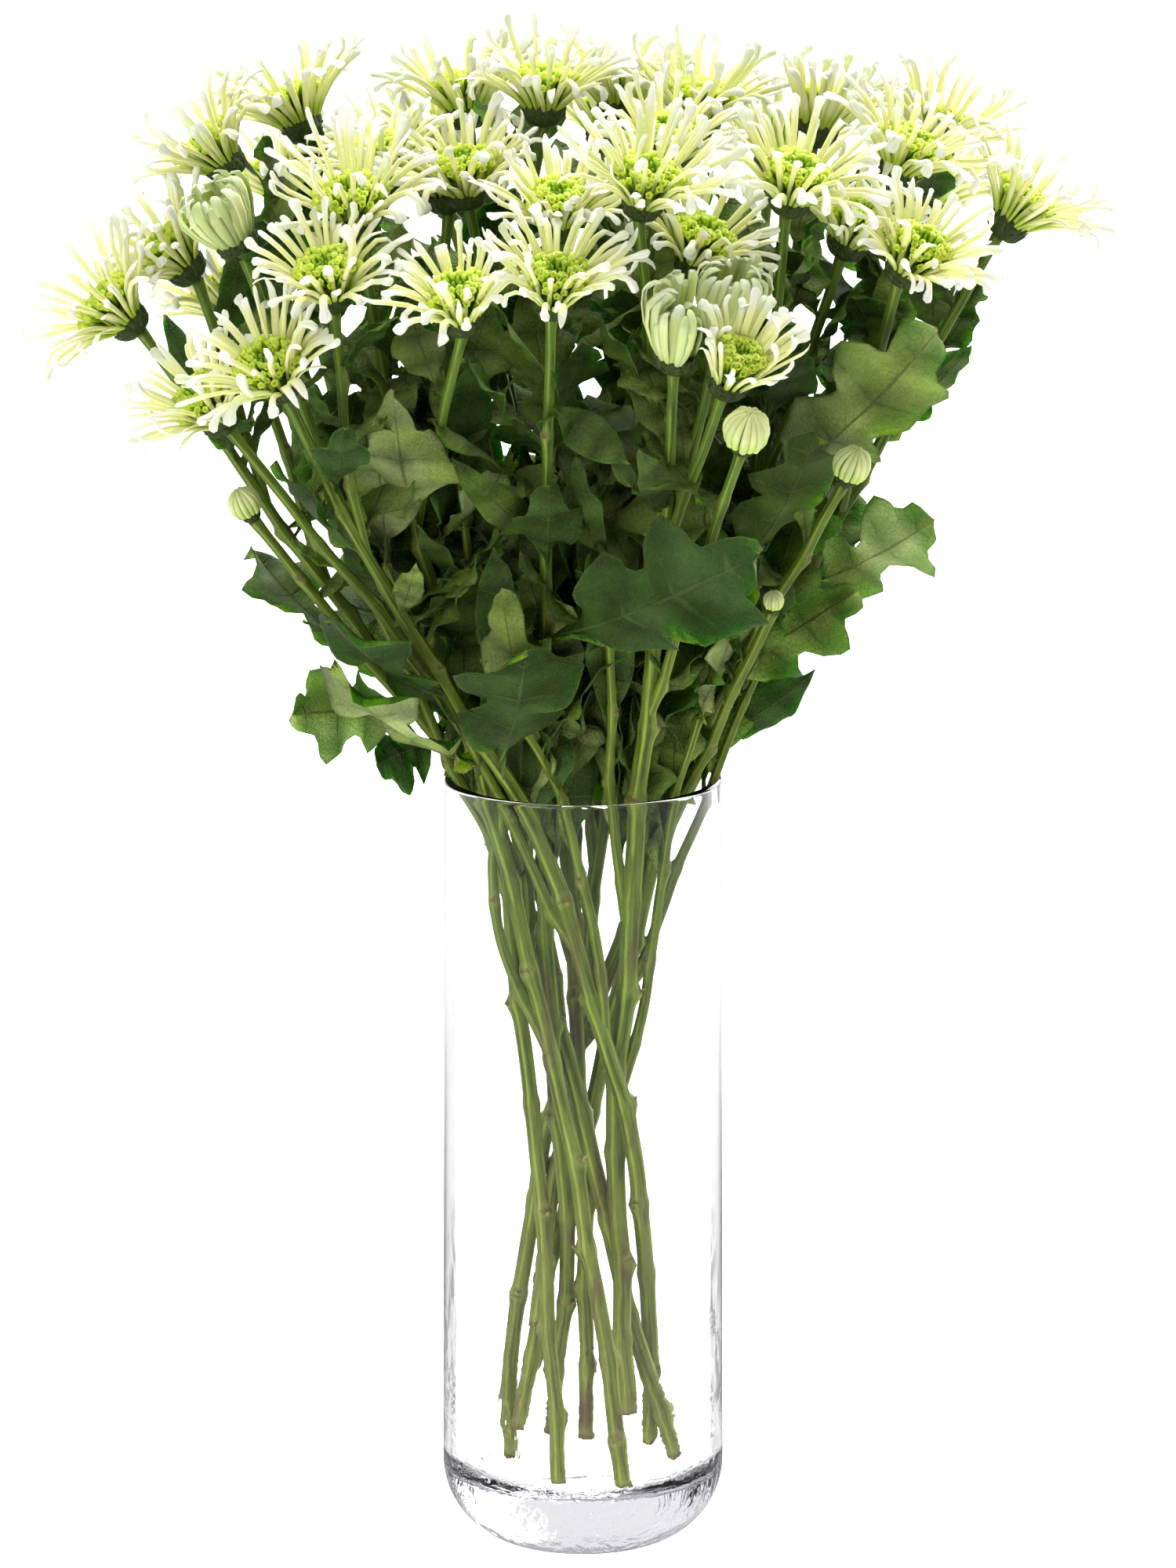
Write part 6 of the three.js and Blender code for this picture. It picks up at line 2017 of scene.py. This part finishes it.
def set_camera(scene):
    camera = bpy.data.cameras.new("photograph_view")
    camera.sensor_fit = "VERTICAL"
    camera.sensor_height = 24
    camera.lens = camera.sensor_height * VIEW_DISTANCE / VIEW_HEIGHT
    camera.clip_end = 60
    eye = set_out("photograph_view", camera)
    back, rise = math.cos(VIEW_TILT) * VIEW_DISTANCE, math.sin(VIEW_TILT) * VIEW_DISTANCE
    eye.location = Vector((VIEW_ASIDE, -back, VIEW_AIM + rise)) * METRES
    eye.rotation_euler = (math.pi / 2 - VIEW_TILT, 0, 0)
    scene.camera = eye


def set_lamps():
    for name, place, size, watts in LAMPS:
        lamp = bpy.data.lights.new(name, "AREA")
        lamp.size = size
        lamp.energy = watts
        holder = set_out(name, lamp)
        holder.location = place
        holder.rotation_euler = (LAMP_AIM - Vector(place)).to_track_quat("-Z", "Y").to_euler()


def set_world(scene):
    """A soft sky, brighter above and dim in the glass, that looks plain white."""
    world = bpy.data.worlds.new("white_studio")
    scene.world = world
    world.use_nodes = True
    tree = world.node_tree
    tree.nodes.clear()
    path = light_path(tree)
    height = split(made(tree, "TexCoord", "Generated"))[2]
    stops = [(0, (0.45, 0.45, 0.34)), (0.25, (0.72, 0.72, 0.58)), (0.8, (1.0, 1.0, 0.92))]
    tint = tinted(path["Is Glossy Ray"], ramp(height, stops), (0.2, 0.2, 0.15))
    sky = made(tree, "Background", "Background", {"Color": tint, "Strength": 0.48})
    plain = made(tree, "Background", "Background", {"Color": WHITE, "Strength": 1.1})
    is_seen = most(path["Is Camera Ray"], path["Is Transmission Ray"])
    both = made(tree, "MixShader", "Shader", {0: is_seen, 1: sky, 2: plain})
    add(tree, "OutputWorld", {"Surface": both})


class BOUQUET_OT_vase(bpy.types.Operator):
    """Turn the clear glass cylinder vase"""

    bl_idname = "bouquet.vase"
    bl_label = "Glass Vase"

    def execute(self, context):
        shape = bmesh.new()
        rim = [shape.verts.new((radius, 0, height)) for radius, height in vase_profile()]
        edges = [shape.edges.new(pair) for pair in zip(rim, rim[1:])]
        bmesh.ops.spin(
            shape, geom=rim + edges, cent=(0, 0, 0), axis=(0, 0, 1), angle=math.tau,
            steps=context.scene.bouquet_sizes.vase_steps, use_merge=True, use_duplicate=False,
        )
        bmesh.ops.remove_doubles(shape, verts=shape.verts[:], dist=0.001)
        bmesh.ops.recalc_face_normals(shape, faces=shape.faces[:])
        bmesh.ops.scale(shape, vec=(METRES, METRES, METRES), verts=shape.verts[:])
        for face in shape.faces:
            face.smooth = True
        mesh = to_mesh(shape, "vase_glass")
        mesh.materials.append(finishes()["glass"])
        set_piece("vase_glass", mesh, "vase")
        return {"FINISHED"}


class BOUQUET_OT_stems(bpy.types.Operator):
    """Grow the ribbed stems and side branches of every spray"""

    bl_idname = "bouquet.stems"
    bl_label = "Stems"

    def execute(self, context):
        for number, shoots in enumerate(plants()["sprays"]):
            luck = np.random.default_rng(100 + number)
            growth = Growth()
            spray = shoots[0].spray
            for shoot in shoots + plants()["twigs"][spray]:
                grow_stem(growth, shoot, luck)
            growth.finish(f"{spray}_stems", [finishes()["stem"]], spray)
        return {"FINISHED"}


class BOUQUET_OT_leaves(bpy.types.Operator):
    """Grow the lobed leaves and the small lance leaves under the blooms"""

    bl_idname = "bouquet.leaves"
    bl_label = "Leaves"

    def execute(self, context):
        materials = [finishes()[name] for name in ("leaf_upper", "leaf_lower")]
        for number, (spray, leaves) in enumerate(plants()["leaves"].items()):
            luck = np.random.default_rng(200 + number)
            growth = Growth()
            for k, leaf in enumerate(leaves):
                grow_leaf(growth, leaf, 10 * number + k % 10, luck, BLADE_ROWS, BLADE_COLUMNS)
            for k, leaf in enumerate(plants()["filling"][spray]):
                grow_leaf(growth, leaf, 10 * number + k % 10, luck, FILLING_ROWS, FILLING_COLUMNS)
            growth.finish(f"{spray}_leaves", materials, spray)
        return {"FINISHED"}


class BOUQUET_OT_calyxes(bpy.types.Operator):
    """Grow the scaly green cups under the blooms and the buds"""

    bl_idname = "bouquet.calyxes"
    bl_label = "Calyxes"

    def execute(self, context):
        for number, shoots in enumerate(plants()["sprays"]):
            luck = np.random.default_rng(300 + number)
            growth = Growth()
            spray = shoots[0].spray
            for shoot in shoots:
                girth = BUD_CALYX * shoot.head.size if shoot.head.kind == "bud" else 1
                grow_calyx(growth, shoot.head, girth, luck)
            growth.finish(f"{spray}_calyxes", [finishes()["calyx"]], spray)
        return {"FINISHED"}


class BOUQUET_OT_buds(bpy.types.Operator):
    """Grow the closed buds"""

    bl_idname = "bouquet.buds"
    bl_label = "Buds"

    def execute(self, context):
        shoots = sum(plants()["sprays"], [])
        materials = [finishes()["petal"], finishes()["floret"]]
        for number, shoot in enumerate(shoot for shoot in shoots if shoot.head.kind == "bud"):
            growth = Growth()
            grow_bud(growth, shoot.head, np.random.default_rng(400 + number))
            growth.finish(f"{shoot.head.name}_petals", materials, shoot.spray)
        return {"FINISHED"}


class BOUQUET_OT_blooms(bpy.types.Operator):
    """Grow the rays and the disc florets of every bloom"""

    bl_idname = "bouquet.blooms"
    bl_label = "Blooms"

    def execute(self, context):
        heads = [shoot.head for shoot in sum(plants()["sprays"], [])]
        materials = [finishes()["petal"], finishes()["floret"], finishes()["floret"]]
        for number, head in enumerate(head for head in heads if head.kind != "bud"):
            luck = np.random.default_rng(500 + number)
            growth = Growth()
            matrix = head.matrix(CALYX_HEIGHT + CLEARANCE)
            rays = read_rays(head)
            if not rays:
                raise RuntimeError(f"{head.name}: no rays were found on its solid")
            for ray in rays + rays_between(rays, luck):
                grow_ray(growth, matrix, ray, head, luck)
            grow_disc(growth, matrix, head, luck)
            growth.finish(f"{head.name}_florets", materials, head.name)
        return {"FINISHED"}


class BOUQUET_PT_panel(bpy.types.Panel):
    """The bouquet's steps, in order"""

    bl_idname = "BOUQUET_PT_panel"
    bl_label = "Santini Bouquet"
    bl_space_type = "VIEW_3D"
    bl_region_type = "UI"
    bl_category = "Bouquet"

    def draw(self, context):
        for group in (context.scene.bouquet_sizes, context.scene.bouquet_colours):
            for name in group.__annotations__:
                self.layout.prop(group, name)
        for operator in OPERATORS:
            self.layout.operator(operator.bl_idname)


OPERATORS = (
    BOUQUET_OT_stage, BOUQUET_OT_vase, BOUQUET_OT_stems, BOUQUET_OT_leaves,
    BOUQUET_OT_calyxes, BOUQUET_OT_buds, BOUQUET_OT_blooms,
)
CLASSES = (BouquetSizes, BouquetColours, *OPERATORS, BOUQUET_PT_panel)


def register():
    for one in CLASSES:
        bpy.utils.register_class(one)
    bpy.types.Scene.bouquet_sizes = PointerProperty(type=BouquetSizes)
    bpy.types.Scene.bouquet_colours = PointerProperty(type=BouquetColours)


def unregister():
    del bpy.types.Scene.bouquet_colours
    del bpy.types.Scene.bouquet_sizes
    for one in reversed(CLASSES):
        bpy.utils.unregister_class(one)


def main():
    register()
    bpy.ops.bouquet.stage()
    bpy.ops.bouquet.vase()
    bpy.ops.bouquet.stems()
    bpy.ops.bouquet.leaves()
    bpy.ops.bouquet.calyxes()
    bpy.ops.bouquet.buds()
    bpy.ops.bouquet.blooms()
    boxes = {"cad": CAD_BOX, "visual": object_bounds()}
    {name: [list(corner) for corner in box] for name, box in boxes.items()}


if __name__ == "__main__":
    main()
